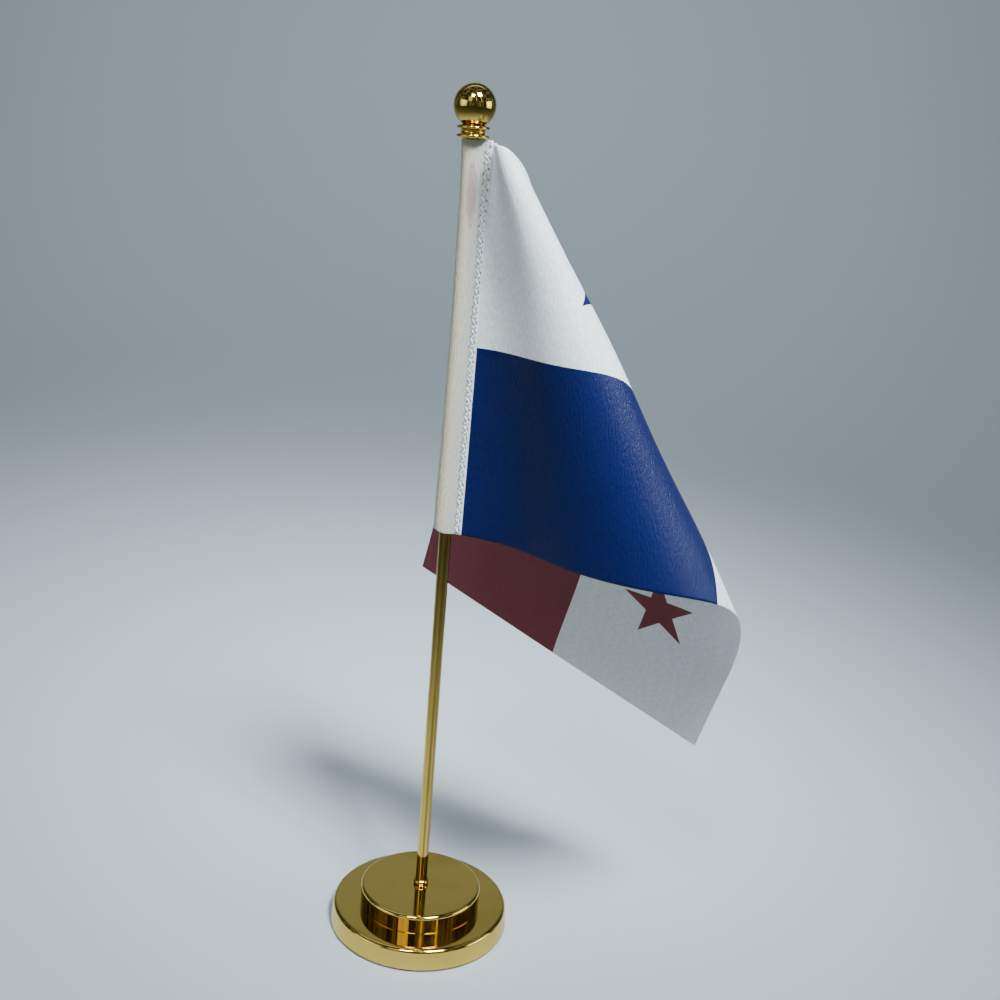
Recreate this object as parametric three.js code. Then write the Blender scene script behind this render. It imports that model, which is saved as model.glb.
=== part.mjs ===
// Desk flag stand: a two-tier weighted base, a pole that plugs into it, a ball finial,
// and a satin flag whose sewn pocket is slid over the pole.
// Units are millimetres and +Z is up. The origin is the middle of the underside.
import * as THREE from 'three';

// ---- driving dimensions -------------------------------------------------------------

// lower tier
const PAD_THICKNESS = 2.0;
const PAD_PROUD = 0.8; // the rim of the shell stands this far off the table
const PAD_INSET = 1.0; // between the pad's edge and the shell's wall
const DISC_FOOT_RADIUS = 35.5;
const DISC_DRAFT = 0.8; // the wall draws in by this much from the foot to the edge
const DISC_TOP_Z = 8.8;
const DISC_EDGE = 1.5;

// upper tier
const DRUM_RADIUS = 23.9;
const DRUM_HEIGHT = 7.3;
const DRUM_EDGE = 1.2;

// shells, weights and the bush that clamps them
const SHELL_WALL = 1.0;
const BUSH_RADIUS = 4.0;
const BUSH_FLANGE_RADIUS = 6.5;
const BUSH_FLANGE_THICKNESS = 1.3;
const WASHER_RADIUS = 7.5;
const WASHER_THICKNESS = 0.8;
const NUT_ACROSS_FLATS = 11.0;
const NUT_THICKNESS = 2.4;
const RECESS_DEPTH = 3.6;

// pole
const POLE_RADIUS = 2.25;
const POLE_WALL = 0.4;
const POLE_LENGTH = 289.0;
const PLUG_DEPTH = 11.8; // how far the foot plug stands down into the base
const PLUG_GRIP = 14.0; // how far it is pressed up into the tube
const BEAD_HEIGHT = 2.1;
const BEAD_WALL = 0.65;

// finial
const STUD_RADIUS = 1.2;
const STUD_GRIP = 8.0;
const NECK_FOOT_RADIUS = 3.6;
const NECK_RADIUS = 3.8;
const NECK_BORE_DEPTH = 3.0;
const FLANGE_RADIUS = 5.5;
const FLANGE_RIM = 0.5;
const FLANGE_ROOT = 1.5;
const FLANGE_HEIGHTS = [1.15, 4.0]; // middles of the two flanges above the pole's end
const NECK_RING_RADIUS = 4.4;
const NECK_RING_HEIGHT = 1.3;
const NECK_LENGTH = 6.2;
const SPIGOT_RADIUS = 2.4;
const SPIGOT_HEIGHT = 3.0;
const BALL_RADIUS = 7.2;

// pocket sewn along the flag's hoist
const FLAG_DROP = 140.0;
const FLAG_FLY = 210.0;
const POCKET_TOP_GAP = 0.7; // between the pocket and the finial's neck
const POCKET_CLOTH = 0.4;
const POCKET_BULGE = 0.3; // how loosely the pocket wraps the pole
const STITCH_OFFSET = 4.9; // from the pole's axis to the stitches
const SEAM_ALLOWANCE = 2.1;
const SEAM_THICKNESS = 0.8;
const THREAD_WIDTH = 0.5;
const THREAD_HEIGHT = 0.3;
const THREAD_END_GAP = 2.0;
const TAPE_THICKNESS = 0.12;
const TAPE_HEIGHT = 14.0;
const TAPE_BELOW_TOP = 12.0;
const TAPE_HALF_ANGLE = 38;

// flag: a sheet bent as a cone, its tip above the hoist's upper end
const FLAG_THICKNESS = 0.8;
const FLAG_COLUMNS = 30;
const FLAG_ROWS = 20;
const CONE_TIP_RISE = 13.9;
const HOIST_HEADING = -22.0; // degrees from +X to the way the cloth leaves the pocket
const FRONT_BOW = 0.673; // bend of the front half, per radian round the tip
const FRONT_WAVE = 2.007;
const WAVE_PHASE = 1.004;
const FOLD_ANGLE = 35.1; // degrees from the hoist to the fold, round the tip
const FOLD_SPREAD = 7.8;
const FOLD_TURN = -189.9;
const BACK_BOW = 0.455;
const BACK_CURL = -0.381; // change of that bend, per radian round the tip

// clearances
const PRESS_GAP = 0.05;
const RUN_GAP = 0.15;
const LOOSE_GAP = 0.3;

const ROUND_SEGMENTS = 48;
const SMALL_SEGMENTS = 24;

// ---- sizes that follow from them ----------------------------------------------------

const DISC_TOP_RADIUS = DISC_FOOT_RADIUS - DISC_DRAFT;
const DRUM_TOP_Z = DISC_TOP_Z + DRUM_HEIGHT;
const PLUG_FOOT_Z = DRUM_TOP_Z - PLUG_DEPTH;
const POLE_TOP_Z = DRUM_TOP_Z + POLE_LENGTH;
const POCKET_TOP_Z = POLE_TOP_Z - POCKET_TOP_GAP;
const POCKET_FOOT_Z = POCKET_TOP_Z - FLAG_DROP;
const TUBE_BORE = POLE_RADIUS - POLE_WALL;
const PLUG_RADIUS = TUBE_BORE - PRESS_GAP;
const SOCKET_RADIUS = PLUG_RADIUS + RUN_GAP;
const SEAM_END = STITCH_OFFSET + SEAM_ALLOWANCE;
const RECESS_RADIUS = WASHER_RADIUS + 1.2;
const HEADING = THREE.MathUtils.degToRad(HOIST_HEADING);

// ---- materials ----------------------------------------------------------------------

const gold = new THREE.MeshStandardMaterial({ color: 0xd8ae52, roughness: 0.12, metalness: 1 });
const iron = new THREE.MeshStandardMaterial({ color: 0x4a4a4c, roughness: 0.7, metalness: 0.8 });
const brass = new THREE.MeshStandardMaterial({ color: 0xb9963f, roughness: 0.35, metalness: 1 });
const steel = new THREE.MeshStandardMaterial({ color: 0xa9abad, roughness: 0.3, metalness: 1 });
const foam = new THREE.MeshStandardMaterial({ color: 0x151515, roughness: 0.95, metalness: 0 });
const satin = new THREE.MeshStandardMaterial({ color: 0xe9e7e2, roughness: 0.45, metalness: 0 });
const thread = new THREE.MeshStandardMaterial({ color: 0xf6f5f2, roughness: 0.5, metalness: 0 });
const tape = new THREE.MeshStandardMaterial({ color: 0xd9b9ad, roughness: 0.6, metalness: 0 });

const stand = new THREE.Group();

/** Names a geometry, gives it a material and adds it to a group. */
function place(name, geometry, material, group = stand) {
  const mesh = new THREE.Mesh(geometry, material);
  mesh.name = name;
  group.add(mesh);
  return mesh;
}

/** Points of a round corner, angles in degrees from the +radius direction. */
function corner(radius, z, size, from, to, steps = 5) {
  const points = [];
  for (let i = 0; i <= steps; i += 1) {
    const angle = THREE.MathUtils.degToRad(from + ((to - from) * i) / steps);
    points.push([radius + size * Math.cos(angle), z + size * Math.sin(angle)]);
  }
  return points;
}

/** A body of revolution round the pole's axis from [radius, z] points, counter-clockwise. */
function turned(profile, segments = ROUND_SEGMENTS) {
  const points = profile.map(([radius, z]) => new THREE.Vector2(radius, z));
  const geometry = new THREE.LatheGeometry(points, segments);
  geometry.rotateX(Math.PI / 2);
  return geometry;
}

/** A ring between two radii and two heights. */
function ring(inner, outer, low, high, segments = ROUND_SEGMENTS) {
  return turned([[inner, low], [outer, low], [outer, high], [inner, high], [inner, low]], segments);
}

/** A solid round bar on the axis. */
function bar(radius, low, high, segments = SMALL_SEGMENTS) {
  return turned([[0, low], [radius, low], [radius, high], [0, high]], segments);
}

// ---- base ---------------------------------------------------------------------------

function discShell() {
  const hole = BUSH_RADIUS + LOOSE_GAP;
  const innerTop = DISC_TOP_Z - SHELL_WALL;
  return turned([
    [DISC_FOOT_RADIUS - SHELL_WALL, PAD_PROUD],
    [DISC_FOOT_RADIUS, PAD_PROUD],
    ...corner(DISC_TOP_RADIUS - DISC_EDGE, DISC_TOP_Z - DISC_EDGE, DISC_EDGE, 0, 90),
    [hole, DISC_TOP_Z],
    [hole, innerTop],
    [DISC_TOP_RADIUS - SHELL_WALL - DISC_EDGE / 2, innerTop],
    [DISC_TOP_RADIUS - SHELL_WALL, innerTop - DISC_EDGE / 2],
    [DISC_FOOT_RADIUS - SHELL_WALL, PAD_PROUD],
  ]);
}

function drumShell() {
  const innerTop = DRUM_TOP_Z - SHELL_WALL;
  return turned([
    [DRUM_RADIUS - SHELL_WALL, DISC_TOP_Z],
    [DRUM_RADIUS, DISC_TOP_Z],
    ...corner(DRUM_RADIUS - DRUM_EDGE, DRUM_TOP_Z - DRUM_EDGE, DRUM_EDGE, 0, 90),
    [SOCKET_RADIUS, DRUM_TOP_Z],
    [SOCKET_RADIUS, innerTop],
    [DRUM_RADIUS - SHELL_WALL - DRUM_EDGE / 2, innerTop],
    [DRUM_RADIUS - SHELL_WALL, innerTop - DRUM_EDGE / 2],
    [DRUM_RADIUS - SHELL_WALL, DISC_TOP_Z],
  ]);
}

function discBallast() {
  const outer = DISC_TOP_RADIUS - SHELL_WALL - DISC_EDGE / 2 - LOOSE_GAP;
  const top = DISC_TOP_Z - SHELL_WALL;
  const recess = PAD_THICKNESS + RECESS_DEPTH;
  return turned([
    [RECESS_RADIUS, PAD_THICKNESS],
    [outer, PAD_THICKNESS],
    [outer, top],
    [BUSH_RADIUS + LOOSE_GAP, top],
    [BUSH_RADIUS + LOOSE_GAP, recess],
    [RECESS_RADIUS, recess],
    [RECESS_RADIUS, PAD_THICKNESS],
  ]);
}

function drumWeight() {
  const outer = DRUM_RADIUS - SHELL_WALL - DRUM_EDGE / 2 - LOOSE_GAP;
  const top = DRUM_TOP_Z - SHELL_WALL;
  const seat = top - BUSH_FLANGE_THICKNESS;
  const pocket = BUSH_FLANGE_RADIUS + LOOSE_GAP;
  return turned([
    [BUSH_RADIUS + LOOSE_GAP, DISC_TOP_Z],
    [outer, DISC_TOP_Z],
    [outer, top],
    [pocket, top],
    [pocket, seat],
    [BUSH_RADIUS + LOOSE_GAP, seat],
    [BUSH_RADIUS + LOOSE_GAP, DISC_TOP_Z],
  ]);
}

function socketBush() {
  const top = DRUM_TOP_Z - SHELL_WALL;
  const seat = top - BUSH_FLANGE_THICKNESS;
  const foot = PAD_THICKNESS + LOOSE_GAP;
  return turned([
    [SOCKET_RADIUS, foot],
    [BUSH_RADIUS, foot],
    [BUSH_RADIUS, seat],
    [BUSH_FLANGE_RADIUS, seat],
    [BUSH_FLANGE_RADIUS, top],
    [SOCKET_RADIUS, top],
    [SOCKET_RADIUS, foot],
  ], SMALL_SEGMENTS);
}

function clampNut(low) {
  const outline = new THREE.Shape();
  const reach = NUT_ACROSS_FLATS / 2 / Math.cos(Math.PI / 6);
  for (let i = 0; i < 6; i += 1) {
    const angle = (i * Math.PI) / 3;
    const x = reach * Math.cos(angle);
    const y = reach * Math.sin(angle);
    if (i === 0) outline.moveTo(x, y);
    else outline.lineTo(x, y);
  }
  outline.closePath();
  const bore = new THREE.Path();
  bore.absarc(0, 0, BUSH_RADIUS + PRESS_GAP * 2, 0, Math.PI * 2, true);
  outline.holes.push(bore);
  const geometry = new THREE.ExtrudeGeometry(outline, {
    depth: NUT_THICKNESS,
    bevelEnabled: false,
    curveSegments: SMALL_SEGMENTS,
  });
  geometry.translate(0, 0, low);
  return geometry;
}

/** The pad is whole, unless the plug is made so long that it reaches down into it. */
function basePad() {
  const radius = DISC_FOOT_RADIUS - SHELL_WALL - PAD_INSET;
  if (PLUG_FOOT_Z > PAD_THICKNESS) return bar(radius, 0, PAD_THICKNESS, ROUND_SEGMENTS);
  return ring(SOCKET_RADIUS, radius, 0, PAD_THICKNESS);
}

const washerTop = PAD_THICKNESS + RECESS_DEPTH;
const washerFoot = washerTop - WASHER_THICKNESS;
place('base_pad', basePad(), foam);
place('base_disc', discShell(), gold);
place('disc_ballast', discBallast(), iron);
place('base_drum', drumShell(), gold);
place('drum_weight', drumWeight(), iron);
place('socket_bush', socketBush(), brass);
place('clamp_washer', ring(BUSH_RADIUS + RUN_GAP, WASHER_RADIUS, washerFoot, washerTop, SMALL_SEGMENTS), steel);
place('clamp_nut', clampNut(washerFoot - NUT_THICKNESS), steel);

// ---- pole ---------------------------------------------------------------------------

function footBead() {
  const inner = POLE_RADIUS + PRESS_GAP;
  const round = BEAD_HEIGHT / 2;
  const outer = inner + BEAD_WALL;
  const middle = DRUM_TOP_Z + round;
  const bulge = [];
  const steps = 6;
  for (let i = 0; i <= steps; i += 1) {
    const angle = -Math.PI / 2 + (Math.PI * i) / steps;
    const bow = BEAD_WALL * 0.6 * Math.cos(angle);
    bulge.push([outer - BEAD_WALL * 0.6 + bow, middle + round * Math.sin(angle)]);
  }
  return turned([[inner, DRUM_TOP_Z], ...bulge, [inner, DRUM_TOP_Z + BEAD_HEIGHT], [inner, DRUM_TOP_Z]]);
}

place('foot_plug', bar(PLUG_RADIUS, PLUG_FOOT_Z, DRUM_TOP_Z + PLUG_GRIP), steel);
place('foot_bead', footBead(), gold);
place('pole_tube', ring(TUBE_BORE, POLE_RADIUS, DRUM_TOP_Z, POLE_TOP_Z, SMALL_SEGMENTS), gold);
place('top_insert', ring(STUD_RADIUS + RUN_GAP, PLUG_RADIUS, POLE_TOP_Z - STUD_GRIP - 1, POLE_TOP_Z,
  SMALL_SEGMENTS), brass);

// ---- finial -------------------------------------------------------------------------

function finialNeck() {
  const foot = POLE_TOP_Z;
  const bore = STUD_RADIUS + PRESS_GAP;
  const profile = [[bore, foot], [NECK_FOOT_RADIUS, foot]];
  for (const height of FLANGE_HEIGHTS) {
    profile.push([NECK_RADIUS, foot + height - FLANGE_ROOT / 2]);
    profile.push([FLANGE_RADIUS, foot + height - FLANGE_RIM / 2]);
    profile.push([FLANGE_RADIUS, foot + height + FLANGE_RIM / 2]);
    profile.push([NECK_RADIUS, foot + height + FLANGE_ROOT / 2]);
  }
  const ringFoot = foot + NECK_LENGTH - NECK_RING_HEIGHT;
  profile.push([NECK_RADIUS - 0.1, ringFoot]);
  profile.push([NECK_RING_RADIUS - 0.3, ringFoot]);
  profile.push([NECK_RING_RADIUS, ringFoot + NECK_RING_HEIGHT / 2]);
  profile.push([NECK_RING_RADIUS - 0.3, foot + NECK_LENGTH]);
  profile.push([SPIGOT_RADIUS, foot + NECK_LENGTH]);
  profile.push([SPIGOT_RADIUS, foot + NECK_LENGTH + SPIGOT_HEIGHT]);
  profile.push([0, foot + NECK_LENGTH + SPIGOT_HEIGHT]);
  return turned([[0, foot + NECK_BORE_DEPTH], [bore, foot + NECK_BORE_DEPTH], ...profile]);
}

function finialBall() {
  const seat = POLE_TOP_Z + NECK_LENGTH;
  const bore = SPIGOT_RADIUS + PRESS_GAP;
  const mouth = NECK_RING_RADIUS - 0.5;
  const middle = seat + Math.sqrt(BALL_RADIUS ** 2 - mouth ** 2);
  const start = -Math.acos(mouth / BALL_RADIUS);
  const steps = 22;
  const profile = [[0, seat + SPIGOT_HEIGHT + LOOSE_GAP], [bore, seat + SPIGOT_HEIGHT + LOOSE_GAP], [bore, seat]];
  for (let i = 0; i < steps; i += 1) {
    const angle = start + ((Math.PI / 2 - start) * i) / steps;
    profile.push([BALL_RADIUS * Math.cos(angle), middle + BALL_RADIUS * Math.sin(angle)]);
  }
  profile.push([0, middle + BALL_RADIUS]);
  return turned(profile);
}

place('finial_stud', bar(STUD_RADIUS, POLE_TOP_Z - STUD_GRIP, POLE_TOP_Z + NECK_BORE_DEPTH - LOOSE_GAP), steel);
place('finial_neck', finialNeck(), gold);
place('finial_ball', finialBall(), gold);

// ---- pocket -------------------------------------------------------------------------

/** Angle at which a line from a point on the x axis leaves a circle round the origin. */
function tangentAngle(radius, x, y) {
  return Math.atan2(y, x) + Math.acos(radius / Math.hypot(x, y));
}

function pocketSection() {
  const inner = POLE_RADIUS + POCKET_BULGE;
  const outer = inner + POCKET_CLOTH;
  const half = SEAM_THICKNESS / 2;
  const from = tangentAngle(outer, STITCH_OFFSET, half);
  const section = new THREE.Shape();
  section.moveTo(SEAM_END, -half);
  section.lineTo(SEAM_END, half);
  section.lineTo(STITCH_OFFSET, half);
  section.absarc(0, 0, outer, from, Math.PI * 2 - from, false);
  section.lineTo(STITCH_OFFSET, -half);
  section.closePath();
  const throat = STITCH_OFFSET - SEAM_THICKNESS;
  const open = tangentAngle(inner, throat, 0);
  const hollow = new THREE.Path();
  hollow.moveTo(inner * Math.cos(open), -inner * Math.sin(open));
  hollow.lineTo(throat, 0);
  hollow.absarc(0, 0, inner, open, Math.PI * 2 - open, false);
  hollow.closePath();
  section.holes.push(hollow);
  return section;
}

function extruded(section, low, high) {
  const geometry = new THREE.ExtrudeGeometry(section, {
    depth: high - low,
    bevelEnabled: false,
    curveSegments: SMALL_SEGMENTS,
  });
  geometry.translate(0, 0, low);
  return geometry;
}

function tapeSection() {
  const inner = POLE_RADIUS + (POCKET_BULGE - TAPE_THICKNESS) / 2;
  const half = THREE.MathUtils.degToRad(TAPE_HALF_ANGLE);
  const section = new THREE.Shape();
  section.absarc(0, 0, inner + TAPE_THICKNESS, -half, half, false);
  section.absarc(0, 0, inner, half, -half, true);
  section.closePath();
  return section;
}

function threadSection() {
  const near = -(SEAM_THICKNESS / 2 + LOOSE_GAP);
  const section = new THREE.Shape();
  section.moveTo(STITCH_OFFSET - THREAD_WIDTH / 2, near);
  section.lineTo(STITCH_OFFSET + THREAD_WIDTH / 2, near);
  section.lineTo(STITCH_OFFSET + THREAD_WIDTH / 2, near - THREAD_HEIGHT);
  section.lineTo(STITCH_OFFSET - THREAD_WIDTH / 2, near - THREAD_HEIGHT);
  section.closePath();
  return section;
}

const pocket = new THREE.Group();
pocket.rotation.z = HEADING;
stand.add(pocket);
place('flag_sleeve', extruded(pocketSection(), POCKET_FOOT_Z, POCKET_TOP_Z), satin, pocket);
place('seam_stitching', extruded(threadSection(), POCKET_FOOT_Z + THREAD_END_GAP, POCKET_TOP_Z - THREAD_END_GAP),
  thread, pocket);
const tapeTop = POCKET_TOP_Z - TAPE_BELOW_TOP;
place('tape_strip', extruded(tapeSection(), tapeTop - TAPE_HEIGHT, tapeTop), tape, pocket);

// ---- flag ---------------------------------------------------------------------------

/** How sharply the sheet bends at an angle round the cone's tip, per radian. */
function bendAt(angle) {
  const fold = THREE.MathUtils.degToRad(FOLD_ANGLE);
  const spread = THREE.MathUtils.degToRad(FOLD_SPREAD);
  const past = 1 / (1 + Math.exp(-(angle - fold) / (spread * 0.6)));
  const wave = FRONT_WAVE * Math.sin((2 * Math.PI * angle) / fold + WAVE_PHASE);
  const peak = THREE.MathUtils.degToRad(FOLD_TURN) / (spread * Math.sqrt(2 * Math.PI));
  const bump = peak * Math.exp(-((angle - fold) ** 2) / (2 * spread ** 2));
  const back = BACK_BOW + BACK_CURL * angle;
  return (FRONT_BOW + wave) * (1 - past) + back * past + bump;
}

/** Directions of the cone's rulings and their normals, one step each from the hoist on. */
function rulings(steps) {
  const ruling = new THREE.Vector3(0, 0, -1);
  const across = new THREE.Vector3(Math.cos(HEADING), Math.sin(HEADING), 0);
  const step = Math.PI / 2 / steps;
  const table = [];
  for (let i = 0; i <= steps; i += 1) {
    const normal = new THREE.Vector3().crossVectors(ruling, across);
    table.push({ ruling: ruling.clone(), normal });
    const bend = (bendAt(i * step) + bendAt((i + 1) * step)) / 2;
    const axis = normal.clone().addScaledVector(ruling, bend);
    const turn = axis.length() * step;
    axis.normalize();
    ruling.applyAxisAngle(axis, turn);
    across.applyAxisAngle(axis, turn);
  }
  return table;
}

const RULING_STEPS = 360;
const RULINGS = rulings(RULING_STEPS);

/** Point of the sheet's middle surface and its normal, from fly and drop distances. */
function sheetPoint(fly, drop) {
  const reach = Math.hypot(fly, drop + CONE_TIP_RISE);
  const angle = Math.atan2(fly, drop + CONE_TIP_RISE);
  const index = Math.min((angle / (Math.PI / 2)) * RULING_STEPS, RULING_STEPS - 1e-6);
  const low = Math.floor(index);
  const ruling = RULINGS[low].ruling.clone().lerp(RULINGS[low + 1].ruling, index - low).normalize();
  const normal = RULINGS[low].normal.clone().lerp(RULINGS[low + 1].normal, index - low).normalize();
  const start = SEAM_END + LOOSE_GAP;
  const point = new THREE.Vector3(Math.cos(HEADING) * start, Math.sin(HEADING) * start, POCKET_TOP_Z + CONE_TIP_RISE);
  return { point: point.addScaledVector(ruling, reach), normal };
}

function flagSheet() {
  const positions = [];
  const indices = [];
  const layer = (FLAG_COLUMNS + 1) * (FLAG_ROWS + 1);
  for (const side of [1, -1]) {
    for (let i = 0; i <= FLAG_COLUMNS; i += 1) {
      for (let j = 0; j <= FLAG_ROWS; j += 1) {
        const { point, normal } = sheetPoint((FLAG_FLY * i) / FLAG_COLUMNS, (FLAG_DROP * j) / FLAG_ROWS);
        point.addScaledVector(normal, (side * FLAG_THICKNESS) / 2);
        positions.push(point.x, point.y, point.z);
      }
    }
  }
  const at = (i, j, side) => side * layer + i * (FLAG_ROWS + 1) + j;
  const quad = (a, b, c, d) => indices.push(a, b, c, a, c, d);
  for (let i = 0; i < FLAG_COLUMNS; i += 1) {
    for (let j = 0; j < FLAG_ROWS; j += 1) {
      quad(at(i, j, 0), at(i, j + 1, 0), at(i + 1, j + 1, 0), at(i + 1, j, 0));
      quad(at(i, j, 1), at(i + 1, j, 1), at(i + 1, j + 1, 1), at(i, j + 1, 1));
    }
    quad(at(i, 0, 0), at(i + 1, 0, 0), at(i + 1, 0, 1), at(i, 0, 1));
    quad(at(i, FLAG_ROWS, 0), at(i, FLAG_ROWS, 1), at(i + 1, FLAG_ROWS, 1), at(i + 1, FLAG_ROWS, 0));
  }
  for (let j = 0; j < FLAG_ROWS; j += 1) {
    quad(at(0, j, 0), at(0, j, 1), at(0, j + 1, 1), at(0, j + 1, 0));
    quad(at(FLAG_COLUMNS, j, 0), at(FLAG_COLUMNS, j + 1, 0), at(FLAG_COLUMNS, j + 1, 1), at(FLAG_COLUMNS, j, 1));
  }
  const geometry = new THREE.BufferGeometry();
  geometry.setAttribute('position', new THREE.Float32BufferAttribute(positions, 3));
  geometry.setIndex(indices);
  geometry.computeVertexNormals();
  return geometry;
}

place('flag_cloth', flagSheet(), satin);

export default stand;
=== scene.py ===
"""Desk flag stand: the visible pieces and their finishes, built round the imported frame."""

import logging
import math
from dataclasses import dataclass, field
from enum import Enum

import bpy
import numpy as np
from mathutils import Matrix, Vector


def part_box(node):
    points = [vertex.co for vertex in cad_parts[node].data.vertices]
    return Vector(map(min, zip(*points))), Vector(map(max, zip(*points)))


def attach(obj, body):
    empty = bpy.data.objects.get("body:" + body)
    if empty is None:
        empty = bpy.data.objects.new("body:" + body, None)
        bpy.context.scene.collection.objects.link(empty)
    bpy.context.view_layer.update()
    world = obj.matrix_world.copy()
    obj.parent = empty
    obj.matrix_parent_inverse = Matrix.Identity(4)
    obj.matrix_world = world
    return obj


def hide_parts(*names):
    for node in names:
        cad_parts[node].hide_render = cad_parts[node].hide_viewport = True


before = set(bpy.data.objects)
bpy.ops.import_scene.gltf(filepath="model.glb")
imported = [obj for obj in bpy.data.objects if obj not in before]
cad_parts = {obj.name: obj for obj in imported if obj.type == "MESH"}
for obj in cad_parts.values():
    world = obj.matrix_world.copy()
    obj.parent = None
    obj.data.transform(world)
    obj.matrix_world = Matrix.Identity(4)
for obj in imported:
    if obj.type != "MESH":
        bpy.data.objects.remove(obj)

Socket = bpy.types.NodeSocket
Colour = tuple[float, float, float, float]
Profile = list[tuple[float, float]]

LOG = logging.getLogger("flag_stand")
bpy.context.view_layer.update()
MM = 0.001
RUN_GAP = 0.05 * MM  # between pieces that slide or screw into each other


class Body(Enum):
    """Bodies of the frame that pieces ride on."""

    BASE = "base"
    FOOT = "foot"
    POLE = "pole"
    FINIAL = "finial"


class Slot(Enum):
    """Material slots of the record."""

    GOLD = "gold_plating"
    IRON = "cast_weight"
    BRASS = "turned_brass"
    STEEL = "bright_steel"
    FOAM = "foam_pad"
    FLAG = "flag_satin"
    POCKET = "pocket_satin"
    THREAD = "sewing_thread"
    TAPE = "adhesive_tape"


# ---- shader helpers -------------------------------------------------------------------


class Nodes:
    """A node tree, with short calls for the nodes that trees of every kind share."""

    def __init__(self, tree: bpy.types.NodeTree) -> None:
        """Takes a tree to add to."""
        self.tree = tree

    def node(self, kind: str, **settings: object) -> bpy.types.Node:
        """Adds a node.

        Args:
            kind: the node's type name.
            settings: properties to set on it.

        Returns:
            The new node.
        """
        made = self.tree.nodes.new(kind)
        for key, value in settings.items():
            setattr(made, key, value)
        return made

    def link(self, source: Socket, target: Socket) -> None:
        """Joins an output socket to an input socket."""
        self.tree.links.new(source, target)

    def feed(self, socket: Socket, value: object) -> None:
        """Sets a socket from a plain value, or joins it to another socket.

        Args:
            socket: the input.
            value: a number, a tuple or an output socket.
        """
        if isinstance(value, Socket):
            self.link(value, socket)
        else:
            socket.default_value = value

    def math(
        self, operation: str, first: object, second: object = 0.0, third: object = 0.0
    ) -> Socket:
        """A Math node.

        Args:
            operation: the node's operation.
            first: first operand, a number or a socket.
            second: second operand.
            third: third operand, for the operations that read one.

        Returns:
            The result's socket.
        """
        made = self.node("ShaderNodeMath", operation=operation)
        for socket, value in zip(made.inputs, (first, second, third)):
            self.feed(socket, value)
        return made.outputs[0]

    def triple(self, x: object, y: object, z: object) -> Socket:
        """A vector from three parts.

        Args:
            x: first part, a number or a socket.
            y: second part.
            z: third part.

        Returns:
            The vector's socket.
        """
        made = self.node("ShaderNodeCombineXYZ")
        for socket, value in zip(made.inputs, (x, y, z)):
            self.feed(socket, value)
        return made.outputs[0]

    def noise(
        self, vector: Socket, scale: float, detail: float = 3.0, roughness: float = 0.5
    ) -> Socket:
        """Noise read at a vector.

        Args:
            vector: where the noise is read.
            scale: its frequency.
            detail: its octaves.
            roughness: how strong the finer octaves are.

        Returns:
            The noise factor's socket.
        """
        made = self.node("ShaderNodeTexNoise")
        self.link(vector, made.inputs["Vector"])
        made.inputs["Scale"].default_value = scale
        made.inputs["Detail"].default_value = detail
        made.inputs["Roughness"].default_value = roughness
        return made.outputs[0]

    def mapped(
        self,
        vector: Socket,
        scale: tuple[float, float, float],
        turn: tuple[float, float, float] = (0.0, 0.0, 0.0),
    ) -> Socket:
        """A vector scaled and turned by a Mapping node.

        Args:
            vector: the vector.
            scale: its scale on each axis.
            turn: its turn about each axis, in radians.

        Returns:
            The mapped vector's socket.
        """
        made = self.node("ShaderNodeMapping")
        self.link(vector, made.inputs["Vector"])
        made.inputs["Rotation"].default_value = turn
        made.inputs["Scale"].default_value = scale
        return made.outputs[0]


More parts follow.
